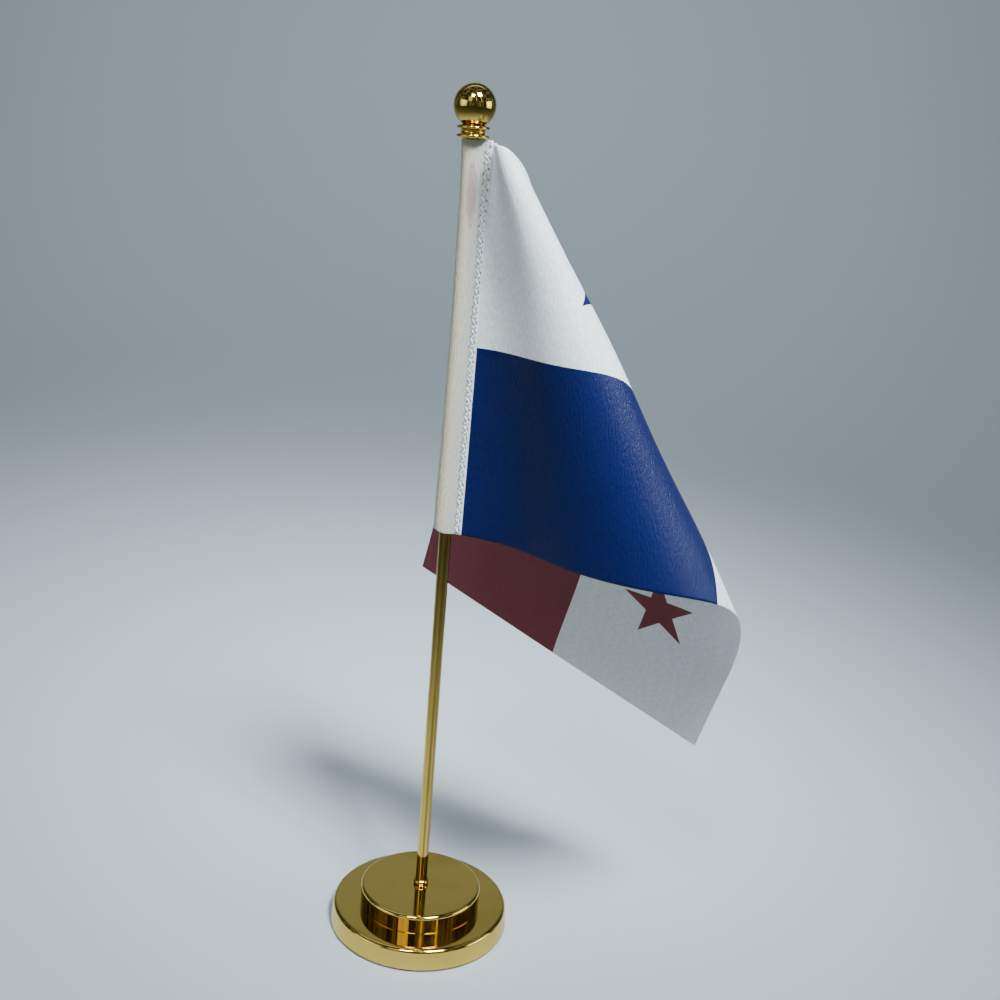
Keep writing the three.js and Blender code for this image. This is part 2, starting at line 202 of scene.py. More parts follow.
class Shader(Nodes):
    """A material's node tree, with short calls for the nodes that the finishes share."""

    def __init__(self, name: str) -> None:
        """Makes an empty material.

        Args:
            name: the material's name.
        """
        self.material = bpy.data.materials.new(name)
        self.material.use_nodes = True
        super().__init__(self.material.node_tree)
        self.tree.nodes.clear()

    def place(self) -> Socket:
        """Object coordinates."""
        return self.node("ShaderNodeTexCoord").outputs["Object"]

    def cut_cloth(self, width: float, height: float) -> tuple[Socket, Socket, Socket]:
        """Place on a cut cloth whose UV map runs from 0 to 1.

        Args:
            width: the cloth's width.
            height: its height.

        Returns:
            Distance across it, distance up it, and both as a vector.
        """
        split = self.node("ShaderNodeSeparateXYZ")
        self.link(self.node("ShaderNodeTexCoord").outputs["UV"], split.inputs[0])
        across = self.math("MULTIPLY", split.outputs[0], width)
        up = self.math("MULTIPLY", split.outputs[1], height)
        return across, up, self.triple(across, up, 0.0)

    def length(self, x: Socket, y: Socket) -> Socket:
        """Distance from the origin of a plane."""
        squares = (self.math("MULTIPLY", side, side) for side in (x, y))
        return self.math("SQRT", self.math("ADD", *squares))

    def blend(self, factor: object, first: object, second: object, mode: str = "MIX") -> Socket:
        """A colour mix.

        Args:
            factor: how much of the second colour shows.
            first: colour at factor 0.
            second: colour at factor 1.
            mode: the blend mode.

        Returns:
            The mixed colour's socket.
        """
        made = self.node("ShaderNodeMix", data_type="RGBA", blend_type=mode)
        self.feed(made.inputs[0], factor)
        self.feed(made.inputs[6], first)
        self.feed(made.inputs[7], second)
        return made.outputs[2]

    def ramp(
        self, value: object, low: float, high: float, start: float = 0.0, end: float = 1.0
    ) -> Socket:
        """A clamped, smooth change of range.

        Args:
            value: what is read.
            low: the reading that gives start.
            high: the reading that gives end.
            start: the result at low.
            end: the result at high.

        Returns:
            The result's socket.
        """
        made = self.node("ShaderNodeMapRange", interpolation_type="SMOOTHSTEP")
        for index, entry in enumerate((value, low, high, start, end)):
            self.feed(made.inputs[index], entry)
        return made.outputs[0]

    def bump(self, height: Socket, distance: float, strength: float) -> Socket:
        """A normal bumped by a height.

        Args:
            height: the height's socket.
            distance: metres for a height of 1.
            strength: how much of the bump shows.

        Returns:
            The normal's socket.
        """
        made = self.node("ShaderNodeBump")
        made.inputs["Strength"].default_value = strength
        made.inputs["Distance"].default_value = distance
        self.link(height, made.inputs["Height"])
        return made.outputs[0]

    def principled(self, **inputs: object) -> bpy.types.Node:
        """A Principled shader.

        Args:
            inputs: its input sockets by name, with underscores for spaces.

        Returns:
            The shader node.
        """
        made = self.node("ShaderNodeBsdfPrincipled")
        for key, value in inputs.items():
            self.feed(made.inputs[key.replace("_", " ")], value)
        return made

    def finish(self, surface: Socket) -> bpy.types.Material:
        """Sends a shader to the output.

        Args:
            surface: the shader's socket.

        Returns:
            The finished material.
        """
        output = self.node("ShaderNodeOutputMaterial")
        self.link(surface, output.inputs["Surface"])
        return self.material


# ---- finishes -------------------------------------------------------------------------


@dataclass(frozen=True)
class GoldPlating:
    """Mirror-polished gold plating with hazed polishing marks and darker, thin patches, and, where
    drawn is set, dark streaks along the axis that are partly drawing marks and partly painted dark
    reflection.
    """

    name: str = "gold_plating"
    colour: Colour = (0.72, 0.48, 0.105, 1.0)
    thin_colour: Colour = (0.61, 0.39, 0.075, 1.0)
    # Dark streak colour: partly drawing marks, partly painted dark reflection.
    streaks_and_dark_reflection: Colour = (0.20, 0.125, 0.035, 1.0)
    drawn: float = 0.0
    roughness: float = 0.045
    haze: float = 0.07
    patch_scale: float = 38.0
    smudge_scale: float = 95.0
    line_scale: tuple[float, float, float] = (760.0, 760.0, 5.0)
    mark_scale: tuple[float, float, float] = (1500.0, 1500.0, 260.0)
    mark_depth: float = 0.004 * MM

    def make(self) -> bpy.types.Material:
        """Builds the material.

        Returns:
            The material.
        """
        s = Shader(self.name)
        place = s.place()
        patches = s.ramp(s.noise(place, self.patch_scale, 4.0), 0.45, 0.75)
        colour = s.blend(patches, self.colour, self.thin_colour)
        # Dark streaks along the axis, as much as drawn gives: partly drawing marks, partly painted
        # dark reflection.
        lines = s.noise(s.mapped(place, self.line_scale), 1.0, 2.0)
        colour = s.blend(s.ramp(lines, 0.40, 0.58, 0.0, self.drawn), colour, self.streaks_and_dark_reflection)
        marks = s.noise(s.mapped(place, self.mark_scale), 1.0, 2.0)
        smudges = s.ramp(s.noise(place, self.smudge_scale, 5.0), 0.42, 0.72)
        haze = s.math("MULTIPLY_ADD", smudges, self.haze, self.roughness)
        normal = s.bump(marks, self.mark_depth, 0.25)
        shader = s.principled(Base_Color=colour, Metallic=1.0, Roughness=haze, Normal=normal)
        return s.finish(shader.outputs[0])


@dataclass(frozen=True)
class BareMetal:
    """Cast or turned metal that isn't plated: grain, machining rings and stains."""

    name: str
    colour: Colour
    stain: Colour
    roughness: float
    grain: float
    stain_scale: float = 120.0
    grain_scale: float = 900.0

    def make(self) -> bpy.types.Material:
        """Builds the material.

        Returns:
            The material.
        """
        s = Shader(self.name)
        place = s.place()
        stains = s.ramp(s.noise(place, self.stain_scale, 5.0), 0.4, 0.7)
        colour = s.blend(stains, self.colour, self.stain)
        grain = s.noise(s.mapped(place, (1.0, 1.0, 3.0)), self.grain_scale, 4.0)
        roughness = s.math("MULTIPLY_ADD", stains, 0.15, self.roughness)
        normal = s.bump(grain, self.grain, 0.5)
        shader = s.principled(
            Base_Color=colour, Metallic=1.0, Roughness=roughness, Normal=normal
        )
        return s.finish(shader.outputs[0])


@dataclass(frozen=True)
class Foam:
    """Black closed-cell foam of the pad."""

    name: str = "foam_pad"
    colour: Colour = (0.018, 0.018, 0.019, 1.0)
    dust: Colour = (0.055, 0.053, 0.05, 1.0)
    cell_scale: float = 2200.0
    cell_depth: float = 0.1 * MM

    def make(self) -> bpy.types.Material:
        """Builds the material.

        Returns:
            The material.
        """
        s = Shader(self.name)
        place = s.place()
        cells = s.node("ShaderNodeTexVoronoi")
        s.link(place, cells.inputs["Vector"])
        cells.inputs["Scale"].default_value = self.cell_scale
        dusty = s.ramp(s.noise(place, 160.0, 5.0), 0.45, 0.8)
        colour = s.blend(dusty, self.colour, self.dust)
        normal = s.bump(cells.outputs["Distance"], self.cell_depth, 0.6)
        return s.finish(s.principled(Base_Color=colour, Roughness=0.9, Normal=normal).outputs[0])


@dataclass(frozen=True)
class SatinWeave:
    """Numbers of the satin that the flag and the pocket are cut from."""

    thread_pitch: float = 0.44 * MM
    float_length: float = 2.2 * MM
    lay: float = math.radians(52.0)
    relief: float = 0.4 * MM
    contrast: float = 0.85
    translucency: float = 0.18
    backlight: float = 0.65
    roughness: float = 0.43
    gloss_spread: float = 0.22
    anisotropy: float = 0.4
    specular: float = 0.26
    sheen: float = 0.03

    def surface(
        self,
        s: Shader,
        cloth: Socket,
        colour: Socket,
    ) -> Socket:
        """Weave, gloss and translucency over a colour.

        Args:
            s: the shader being built.
            cloth: place on the cut cloth, in metres.
            colour: the dyed colour.

        Returns:
            The shader's socket.
        """
        fibre = 1.0 / self.thread_pitch
        floats = 1.0 / self.float_length
        warp = s.noise(s.mapped(cloth, (fibre, floats, 1.0), (0.0, 0.0, self.lay)), 1.0, 2.0)
        weft = s.noise(s.mapped(cloth, (floats, fibre, 1.0)), 1.0, 1.0)
        threads = s.math("MULTIPLY_ADD", warp, 0.95, s.math("MULTIPLY", weft, 0.15))
        slubs = s.noise(s.mapped(cloth, (90.0, 700.0, 1.0)), 1.0, 3.0)
        shade = s.math("MULTIPLY_ADD", s.math("SUBTRACT", threads, 0.55), self.contrast, 1.0)
        shade = s.math("MULTIPLY_ADD", s.math("SUBTRACT", slubs, 0.5), 0.1, shade)
        grey = s.node("ShaderNodeCombineColor")
        for socket in grey.inputs[:3]:
            s.link(shade, socket)
        woven = s.blend(1.0, colour, grey.outputs[0], "MULTIPLY")
        smoothest = self.roughness - self.gloss_spread / 2
        roughness = s.math("MULTIPLY_ADD", threads, self.gloss_spread, smoothest)
        normal = s.bump(threads, self.relief, 0.95)
        tangent = s.node("ShaderNodeTangent", direction_type="UV_MAP")
        gloss = s.principled(
            Base_Color=woven,
            Roughness=roughness,
            Normal=normal,
            Tangent=tangent.outputs[0],
            Anisotropic=self.anisotropy,
            Specular_IOR_Level=self.specular,
            Sheen_Weight=self.sheen,
            Sheen_Roughness=0.35,
        )
        lit = s.node("ShaderNodeGamma")
        s.link(woven, lit.inputs[0])
        lit.inputs[1].default_value = self.backlight
        through = s.node("ShaderNodeBsdfTranslucent")
        s.link(lit.outputs[0], through.inputs["Color"])
        mixed = s.node("ShaderNodeMixShader")
        mixed.inputs[0].default_value = self.translucency
        s.link(gloss.outputs[0], mixed.inputs[1])
        s.link(through.outputs[0], mixed.inputs[2])
        return mixed.outputs[0]


@dataclass(frozen=True)
class PrintedSatin:
    """The flag's four fields and two stars, printed on satin."""

    fly: float
    drop: float
    name: str = "flag_satin"
    weave: SatinWeave = SatinWeave()
    white: Colour = (0.84, 0.85, 0.85, 1.0)
    blue: Colour = (0.0018, 0.0070, 0.066, 1.0)
    red: Colour = (0.18, 0.007, 0.015, 1.0)
    # Reverse-side tone: partly the weaker print on the back, partly painted shade on the reverse.
    reverse_dull_and_shade: Colour = (0.16, 0.17, 0.20, 1.0)
    reverse_dull_and_shade_share: float = 0.12
    star_radius: float = 16.0 * MM
    bleed: float = 0.3 * MM

    def star(self, s: Shader, x: Socket, y: Socket) -> Socket:
        """A five-pointed star, one point up.

        Args:
            s: the shader being built.
            x: distance right of the star's middle.
            y: distance above it.

        Returns:
            1 inside the star, 0 outside.
        """
        reach = s.length(x, y)
        angle = s.math("ARCTAN2", x, y)
        sector = 2.0 * math.pi / 5.0
        folded = s.math("WRAP", angle, sector / 2.0, -sector / 2.0)
        folded = s.math("ABSOLUTE", folded)
        edge = s.math("MULTIPLY", reach, s.math("COSINE", s.math("SUBTRACT", folded, sector)))
        return s.math("LESS_THAN", edge, self.star_radius * math.cos(sector))

    def make(self) -> bpy.types.Material:
        """Builds the material.

        Returns:
            The material.
        """
        s = Shader(self.name)
        across, up, cloth = s.cut_cloth(self.fly, self.drop)
        wander = s.noise(s.mapped(cloth, (1400.0, 1400.0, 1.0)), 1.0, 1.0)
        bleed = s.math("MULTIPLY_ADD", wander, self.bleed, -self.bleed / 2)
        flyward = s.math("GREATER_THAN", s.math("ADD", across, bleed), self.fly / 2)
        upward = s.math("GREATER_THAN", s.math("ADD", up, bleed), self.drop / 2)
        on_cut = s.math("GREATER_THAN", across, 0.0)
        red_field = s.math("MULTIPLY", flyward, upward)
        hoistward, downward = (s.math("SUBTRACT", 1.0, side) for side in (flyward, upward))
        blue_field = s.math("MULTIPLY", s.math("MULTIPLY", hoistward, downward), on_cut)
        quarter_fly, quarter_drop = self.fly / 4, self.drop / 4
        blue_star = self.star(
            s,
            s.math("SUBTRACT", across, quarter_fly),
            s.math("SUBTRACT", up, self.drop - quarter_drop),
        )
        red_star = self.star(
            s,
            s.math("SUBTRACT", across, self.fly - quarter_fly),
            s.math("SUBTRACT", up, quarter_drop),
        )
        blue = s.math("MAXIMUM", blue_field, blue_star)
        red = s.math("MAXIMUM", red_field, red_star)
        colour = s.blend(blue, self.white, self.blue)
        colour = s.blend(red, colour, self.red)
        # The reverse side is blended towards a dark bluish grey: partly the weaker print on the
        # back, partly painted shade.
        reverse = s.node("ShaderNodeAttribute", attribute_name="reverse").outputs["Fac"]
        colour = s.blend(s.math("MULTIPLY", reverse, self.reverse_dull_and_shade_share), colour, self.reverse_dull_and_shade)
        return s.finish(self.weave.surface(s, cloth, colour))


@dataclass(frozen=True)
class PocketSatin:
    """White satin of the pole pocket, warmed by a painted show-through of the gilt pole where the
    cloth wraps it.
    """

    round_length: float
    drop: float
    stitch_inset: float
    stitch_pitch: float
    name: str = "pocket_satin"
    weave: SatinWeave = SatinWeave(translucency=0.1)
    white: Colour = (0.46, 0.445, 0.40, 1.0)
    # Painted show-through: the warm tint of the gilt pole seen through the cloth.
    painted_pole_show_through: Colour = (0.53, 0.47, 0.34, 1.0)
    glued: Colour = (0.34, 0.215, 0.235, 1.0)
    frayed: Colour = (0.86, 0.87, 0.86, 1.0)
    mark_place: tuple[float, float] = (0.228, 0.875)
    mark_size: tuple[float, float] = (1.9 * MM, 12.5 * MM)
    mark_depth: float = 0.85
    # Painted shade: the needle holes and the stitch groove are darkened towards this colour.
    painted_seam_shade: Colour = (0.10, 0.10, 0.11, 1.0)
    hole: float = 0.48 * MM
    hole_aside: float = 0.8 * MM
    shade_reach: tuple[float, float] = (0.6 * MM, 1.1 * MM)
    shade_depth: float = 0.38

    def make(self) -> bpy.types.Material:
        """Builds the material.

        Returns:
            The material.
        """
        s = Shader(self.name)
        across, up, cloth = s.cut_cloth(self.round_length, self.drop)
        share = s.math("DIVIDE", across, self.round_length)
        from_middle = s.math("ABSOLUTE", s.math("SUBTRACT", share, 0.5))
        # Painted show-through of the gilt pole: a warm tint on the part of the cloth that wraps
        # round the pole.
        pole_show_through_mask = s.ramp(from_middle, 0.2, 0.33, 1.0, 0.0)
        colour = s.blend(pole_show_through_mask, self.white, self.painted_pole_show_through)
        column, row = self.mark_place[0] * self.round_length, self.mark_place[1] * self.drop
        side = s.math("DIVIDE", s.math("SUBTRACT", across, column), self.mark_size[0])
        rise = s.math("DIVIDE", s.math("SUBTRACT", up, row), self.mark_size[1])
        spread = s.math("ADD", s.math("MULTIPLY", side, side), s.math("MULTIPLY", rise, rise))
        ragged = s.math("MULTIPLY_ADD", s.noise(cloth, 260.0, 3.0), 0.8, spread)
        mark = s.ramp(ragged, 0.5, 1.5, self.mark_depth, 0.0)
        colour = s.blend(mark, colour, self.glued)
        edge = s.math("SUBTRACT", 0.5, from_middle)
        colour = s.blend(s.ramp(edge, 0.078, 0.1, 1.0, 0.0), colour, self.frayed)
        # Painted shade in the needle holes and along the stitch groove.
        colour = s.blend(self.seam_and_hole_shade(s, across, up), colour, self.painted_seam_shade)
        return s.finish(self.weave.surface(s, cloth, colour))

    def seam_and_hole_shade(self, s: Shader, across: Socket, up: Socket) -> Socket:
        """Painted shade in the needle holes between the stitches and along the groove of the stitch
        rows.

        Args:
            s: the shader being built.
            across: distance round the cut cloth.
            up: distance up it.

        Returns:
            How dark the cloth is, 0 to 1.
        """
        middle = self.round_length / 2
        edge = s.math("SUBTRACT", middle, s.math("ABSOLUTE", s.math("SUBTRACT", across, middle)))
        from_seam = s.math("ABSOLUTE", s.math("SUBTRACT", edge, self.stitch_inset))
        # Painted shade along the groove of each stitch row.
        dark = s.ramp(from_seam, *self.shade_reach, self.shade_depth, 0.0)
        # Painted shade in the needle holes on both sides of each stitch row.
        for way, phase in ((1.0, 0.0), (-1.0, self.stitch_pitch)):
            aside = s.math("SUBTRACT", edge, self.stitch_inset + way * self.hole_aside)
            along = s.math("WRAP", s.math("ADD", up, phase), self.stitch_pitch, -self.stitch_pitch)
            away = s.length(aside, along)
            dark = s.math("MAXIMUM", dark, s.ramp(away, self.hole * 0.5, self.hole * 1.6, 0.9, 0.0))
        return dark


@dataclass(frozen=True)
class GlossThread:
    """Twisted polyester sewing thread."""

    name: str = "sewing_thread"
    colour: Colour = (0.94, 0.94, 0.93, 1.0)
    shade: Colour = (0.72, 0.72, 0.71, 1.0)
    twist_scale: float = 2600.0
    twist_depth: float = 0.03 * MM

    def make(self) -> bpy.types.Material:
        """Builds the material.

        Returns:
            The material.
        """
        s = Shader(self.name)
        place = s.place()
        ply = s.node("ShaderNodeTexWave", wave_type="BANDS", bands_direction="DIAGONAL")
        s.link(place, ply.inputs["Vector"])
        ply.inputs["Scale"].default_value = self.twist_scale
        ply.inputs["Distortion"].default_value = 1.5
        colour = s.blend(s.ramp(ply.outputs[1], 0.2, 0.8, 0.6, 0.0), self.colour, self.shade)
        normal = s.bump(ply.outputs[1], self.twist_depth, 0.5)
        shader = s.principled(Base_Color=colour, Roughness=0.3, Normal=normal, Sheen_Weight=0.3)
        return s.finish(shader.outputs[0])


@dataclass(frozen=True)
class TapeFilm:
    """Thin adhesive tape."""

    name: str = "adhesive_tape"
    colour: Colour = (0.72, 0.5, 0.44, 1.0)
    stain: Colour = (0.6, 0.38, 0.34, 1.0)

    def make(self) -> bpy.types.Material:
        """Builds the material.

        Returns:
            The material.
        """
        s = Shader(self.name)
        place = s.place()
        patches = s.ramp(s.noise(place, 500.0, 3.0), 0.4, 0.7)
        colour = s.blend(patches, self.colour, self.stain)
        return s.finish(s.principled(Base_Color=colour, Roughness=0.5).outputs[0])


# ---- mesh helpers ---------------------------------------------------------------------


def add_mesh(name: str, vertices: np.ndarray, faces: list[tuple[int, ...]]) -> bpy.types.Object:
    """A smooth-shaded mesh object at the origin.

    Args:
        name: the piece's name.
        vertices: points in metres.
        faces: corner numbers of each face, counter-clockwise seen from outside.

    Returns:
        The new object.
    """
    mesh = bpy.data.meshes.new(name)
    mesh.from_pydata(vertices.tolist(), [], faces)
    mesh.validate()
    mesh.shade_smooth()
    piece = bpy.data.objects.new(name, mesh)
    bpy.context.scene.collection.objects.link(piece)
    return piece


def held(profile: Profile, hold: float = 0.12 * MM) -> Profile:
    """A profile with extra points near the ends of its straight runs, which keep them flat.

    Args:
        profile: (radius, height) points.
        hold: distance of the extra points from the corners.

    Returns:
        The longer profile.
    """
    out: Profile = [profile[0]]
    for (r0, z0), (r1, z1) in zip(profile, profile[1:]):
        length = math.hypot(r1 - r0, z1 - z0)
        if length > 4 * hold:
            share = hold / length
            out.append((r0 + (r1 - r0) * share, z0 + (z1 - z0) * share))
            out.append((r1 + (r0 - r1) * share, z1 + (z0 - z1) * share))
        out.append((r1, z1))
    return out


def arc(
    radius: float, height: float, size: float, start: float, end: float, steps: int
) -> Profile:
    """Points of an arc in the profile's plane.

    Args:
        radius: radius coordinate of the arc's middle.
        height: height of its middle.
        size: the arc's own radius.
        start: first angle in degrees, from the outward direction.
        end: last angle.
        steps: number of chords.

    Returns:
        (radius, height) points.
    """
    angles = np.radians(np.linspace(start, end, steps + 1))
    return [(radius + size * math.cos(a), height + size * math.sin(a)) for a in angles]


def turned(name: str, profile: Profile, segments: int = 192) -> bpy.types.Object:
    """A body of revolution about the pole's axis.

    Args:
        name: the piece's name.
        profile: (radius, height) points that close on themselves or start and end on the axis.
        segments: facets round.

    Returns:
        The new object, its faces pointing out.
    """
    closed = profile[0] == profile[-1]
    rows = profile[:-1] if closed else profile
    angles = np.linspace(0.0, 2.0 * math.pi, segments, endpoint=False)
    vertices: list[tuple[float, float, float]] = []
    starts: list[tuple[int, int]] = []
    for radius, height in rows:
        count = 1 if radius < 1e-9 else segments
        starts.append((len(vertices), count))
        for angle in angles[:count]:
            vertices.append((radius * math.cos(angle), radius * math.sin(angle), height))
    faces: list[tuple[int, ...]] = []
    last = len(rows) if closed else len(rows) - 1
    for row in range(last):
        low, low_count = starts[row]
        high, high_count = starts[(row + 1) % len(rows)]
        for i in range(segments):
            j = (i + 1) % segments
            below = (low + i % low_count, low + j % low_count)
            above = (high + j % high_count, high + i % high_count)
            faces.append(tuple(dict.fromkeys(below + above)))
    return add_mesh(name, np.array(vertices), faces)


def ring_heights(node: str) -> tuple[float, float, float]:
    """Outer radius, foot and top of a round CAD node, in metres."""
    low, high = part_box(node)
    return (high.x - low.x) / 2, low.z, high.z


def sheet_normals(points: np.ndarray) -> np.ndarray:
    """Unit normals of a grid of points."""
    normals = np.cross(np.gradient(points, axis=1), np.gradient(points, axis=0))
    return normals / np.linalg.norm(normals, axis=-1, keepdims=True)


def closed_sheet(
    name: str, points: np.ndarray, thickness: float, u: np.ndarray, v: np.ndarray
) -> bpy.types.Object:
    """A cloth of two layers that are joined round their edges, with a map of the cut cloth.

    Args:
        name: the piece's name.
        points: grid of points on the cloth's middle surface.
        thickness: the cloth's thickness.
        u: grid of the points' places across the cut cloth, 0 to 1.
        v: grid of their places up it.

    Returns:
        The new object. The first half of its vertices is the layer on the normals' side.
    """
    half = sheet_normals(points) * (thickness / 2)
    layers = np.concatenate([(points + half).reshape(-1, 3), (points - half).reshape(-1, 3)])
    size = u.size
    at = np.arange(size).reshape(u.shape)
    a, b, c, d = at[:-1, :-1], at[1:, :-1], at[1:, 1:], at[:-1, 1:]
    front = np.stack([a, d, c, b], -1).reshape(-1, 4)
    back = np.stack([a, b, c, d], -1).reshape(-1, 4) + size
    rim = np.concatenate([at[:, 0], at[-1, 1:], at[-2::-1, -1], at[0, -2:0:-1]])
    following = np.roll(rim, -1)
    sides = np.stack([rim, following, following + size, rim + size], -1)
    faces = np.concatenate([front, back, sides])
    piece = add_mesh(name, layers, [tuple(face) for face in faces.tolist()])
    cut = np.tile(np.stack([u.ravel(), v.ravel()], -1), (2, 1))
    corners = np.zeros(len(piece.data.loops), np.int32)
    piece.data.loops.foreach_get("vertex_index", corners)
    layer = piece.data.uv_layers.new(name="cut")
    layer.data.foreach_set("uv", cut[corners].astype(np.float32).ravel())
    return piece


def dress(
    piece: bpy.types.Object, material: bpy.types.Material, slot: Slot, body: Body, *nodes: str
) -> None:
    """Gives a finished piece its material and body, and hides the nodes it stands for.

    Args:
        piece: the piece.
        material: its finish.
        slot: the record's slot for it; not used.
        body: the body it rides on.
        nodes: the CAD nodes it replaces.
    """
    piece.data.materials.clear()
    piece.data.materials.append(material)
    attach(piece, body.value)
    if nodes:
        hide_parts(*nodes)
    LOG.info("%s: %d faces on %s", piece.name, len(piece.data.polygons), body.value)


# ---- base -----------------------------------------------------------------------------


@dataclass
class Base:
    """The two polished tiers; the parts inside them stay as CAD nodes."""

    gold: bpy.types.Material
    wall: float = 1.0 * MM
    disc_edge: float = 1.5 * MM
    drum_edge: float = 1.2 * MM
    disc_draw: float = 0.8 * MM
    lip: float = 0.35 * MM
    drum_lip: float = 0.21 * MM
    drum_step: float = 0.1 * MM
    drum_hole: float = 1.95 * MM
    bush_share: float = 0.66  # of the bush's flange, the hole that the disc leaves for it

    def build(self) -> None:
        """Builds and dresses the base's visible pieces."""
        self.disc()
        self.drum()

    def disc(self) -> None:
        """Lower tier: a pressed shell with a drawn wall, a round edge and a rolled foot."""
        radius, foot, top = ring_heights("base_disc")
        edge, wall = self.disc_edge, self.wall
        upper = radius - self.disc_draw
        hole = ring_heights("socket_bush")[0] * self.bush_share
        profile = [(radius - wall, foot + self.lip)]
        profile += arc(radius - self.lip, foot + self.lip, self.lip, -90, 0, 6)
        profile += arc(upper - edge, top - edge, edge, 3, 90, 16)
        profile += [(hole, top), (hole, top - wall), (upper - wall - edge / 2, top - wall)]
        profile += [(upper - wall, top - wall - edge / 2), (radius - wall, foot + self.lip)]
        piece = turned("base_disc_shell", held(profile), 256)
        dress(piece, self.gold, Slot.GOLD, Body.BASE, "base_disc")

    def drum(self) -> None:
        """Upper tier: a pressed cap with a round edge and a fine foot seam."""
        radius, foot, top = ring_heights("base_drum")
        edge, wall, lip, hole = self.drum_edge, self.wall, self.drum_lip, self.drum_hole
        profile = [(radius - wall, foot + lip), (radius - lip - self.drum_step, foot)]
        profile += arc(radius - lip, foot + lip, lip, -80, 0, 5)
        profile += arc(radius - edge, top - edge, edge, 0, 90, 16)
        profile += [(hole, top), (hole, top - wall), (radius - wall - edge / 2, top - wall)]
        profile += [(radius - wall, top - wall - edge / 2), (radius - wall, foot + lip)]
        piece = turned("base_drum_cap", held(profile), 224)
        dress(piece, self.gold, Slot.GOLD, Body.BASE, "base_drum")


# ---- pole -----------------------------------------------------------------------------


@dataclass
class Pole:
    """The pole's tube and the bead at its foot."""

    gold: bpy.types.Material
    wall: float = 0.4 * MM
    bevel: float = 0.15 * MM
    collar: float = 0.28 * MM
    bead_share: float = 0.36  # of the bead's height, from its middle to each collar
    bead_fullness: float = 0.8
    bead_steps: int = 12

    def build(self) -> None:
        """Builds and dresses the tube and the bead."""
        self.tube()
        self.bead()

    def tube(self) -> None:
        """Drawn tube with broken edges at both ends."""
        radius, foot, top = ring_heights("pole_tube")
        bore, b = radius - self.wall, self.bevel
        profile = [(bore, foot), (radius - b, foot)]
        profile += arc(radius - b, foot + b, b, -60, 0, 3)
        profile += arc(radius - b, top - b, b, 0, 90, 4)
        profile += [(bore, top), (bore, foot)]
        piece = turned("pole_tube_drawn", held(profile), 96)
        dress(piece, self.gold, Slot.GOLD, Body.POLE, "pole_tube")

    def bead(self) -> None:
        """Round bead with a thin collar above and below it."""
        outer, foot, top = ring_heights("foot_bead")
        inner = ring_heights("pole_tube")[0] + RUN_GAP
        middle = (foot + top) / 2
        rise = (top - foot) * self.bead_share
        collar = inner + self.collar
        profile = [(inner, foot), (collar, foot), (collar, middle - rise)]
        bow = outer - collar
        for step in range(self.bead_steps + 1):
            angle = math.pi * (step / self.bead_steps - 0.5)
            inside = 0 < step < self.bead_steps
            out = math.cos(angle) ** self.bead_fullness if inside else 0.05
            profile.append((collar + bow * out, middle + rise * math.sin(angle)))
        profile += [(collar, middle + rise), (collar, top), (inner, top), (inner, foot)]
        piece = turned("foot_bead_ring", profile, 96)
        dress(piece, self.gold, Slot.GOLD, Body.FOOT, "foot_bead")


# ---- finial ---------------------------------------------------------------------------


@dataclass
class Finial:
    """Ball finial and its ribbed neck."""

    gold: bpy.types.Material
    flange_heights: tuple[float, float] = (0.95 * MM, 3.8 * MM)
    flange_reach: float = 0.2 * MM
    flange_rim: float = 0.56 * MM
    flange_root: float = 0.85 * MM
    neck_radius: float = 4.2 * MM
    foot_radius: float = 4.0 * MM
    neck_length: float = 4.7 * MM
    spigot: float = 2.4 * MM
    ball_radius: float = 7.35 * MM
    ball_middle: float = 11.05 * MM
    mouth: float = 3.7 * MM
    stud_depth: float = 3.0 * MM
    bore_gap: float = 0.3 * MM

    def build(self) -> None:
        """Builds and dresses the neck and the ball."""
        self.neck()
        self.ball()

    def neck(self) -> None:
        """Turned neck: two pointed flanges with hollow flanks under a short collar."""
        outer, foot, top = ring_heights("finial_neck")
        stud = ring_heights("finial_stud")[0] + RUN_GAP
        bore_top = foot + self.stud_depth
        profile = [(0.0, bore_top), (stud, bore_top), (stud, foot), (self.foot_radius, foot)]
        for height in self.flange_heights:
            profile += self.flange(foot + height, outer + self.flange_reach)
        seat = foot + self.neck_length
        profile += [(self.mouth, seat), (self.spigot, seat), (self.spigot, top), (0.0, top)]
        piece = turned("finial_neck_turned", profile, 128)
        dress(piece, self.gold, Slot.GOLD, Body.FINIAL, "finial_neck")

    def flange(self, middle: float, outer: float) -> Profile:
        """One flange's outline, from below to above.

        Args:
            middle: its height.
            outer: its rim's radius.

        Returns:
            (radius, height) points.
        """
        rim = self.flange_rim
        below, above = [], []
        for step in range(7):
            share = step / 6
            radius = self.neck_radius + (outer - rim - self.neck_radius) * share
            lift = rim + (self.flange_root - rim) * (1 - share) ** 1.5
            below.append((radius, middle - lift))
            above.append((radius, middle + lift))
        tip = arc(outer - rim, middle, rim, -75, 75, 8)
        return below + tip + above[::-1]

    def ball(self) -> None:
        """Polished ball with a bore for the neck's spigot."""
        _, foot, spigot_top = ring_heights("finial_neck")
        middle, radius = foot + self.ball_middle, self.ball_radius
        bore, bore_top = self.spigot + RUN_GAP, spigot_top + self.bore_gap
        start = -math.degrees(math.acos(self.mouth / radius))
        mouth_height = middle + radius * math.sin(math.radians(start))
        profile = [(0.0, bore_top), (bore, bore_top), (bore, mouth_height)]
        profile += arc(0.0, middle, radius, start, 90, 64)[:-1]
        profile.append((0.0, middle + radius))
        piece = turned("finial_ball_polished", profile, 160)
        dress(piece, self.gold, Slot.GOLD, Body.FINIAL, "finial_ball")


# ---- flag -----------------------------------------------------------------------------


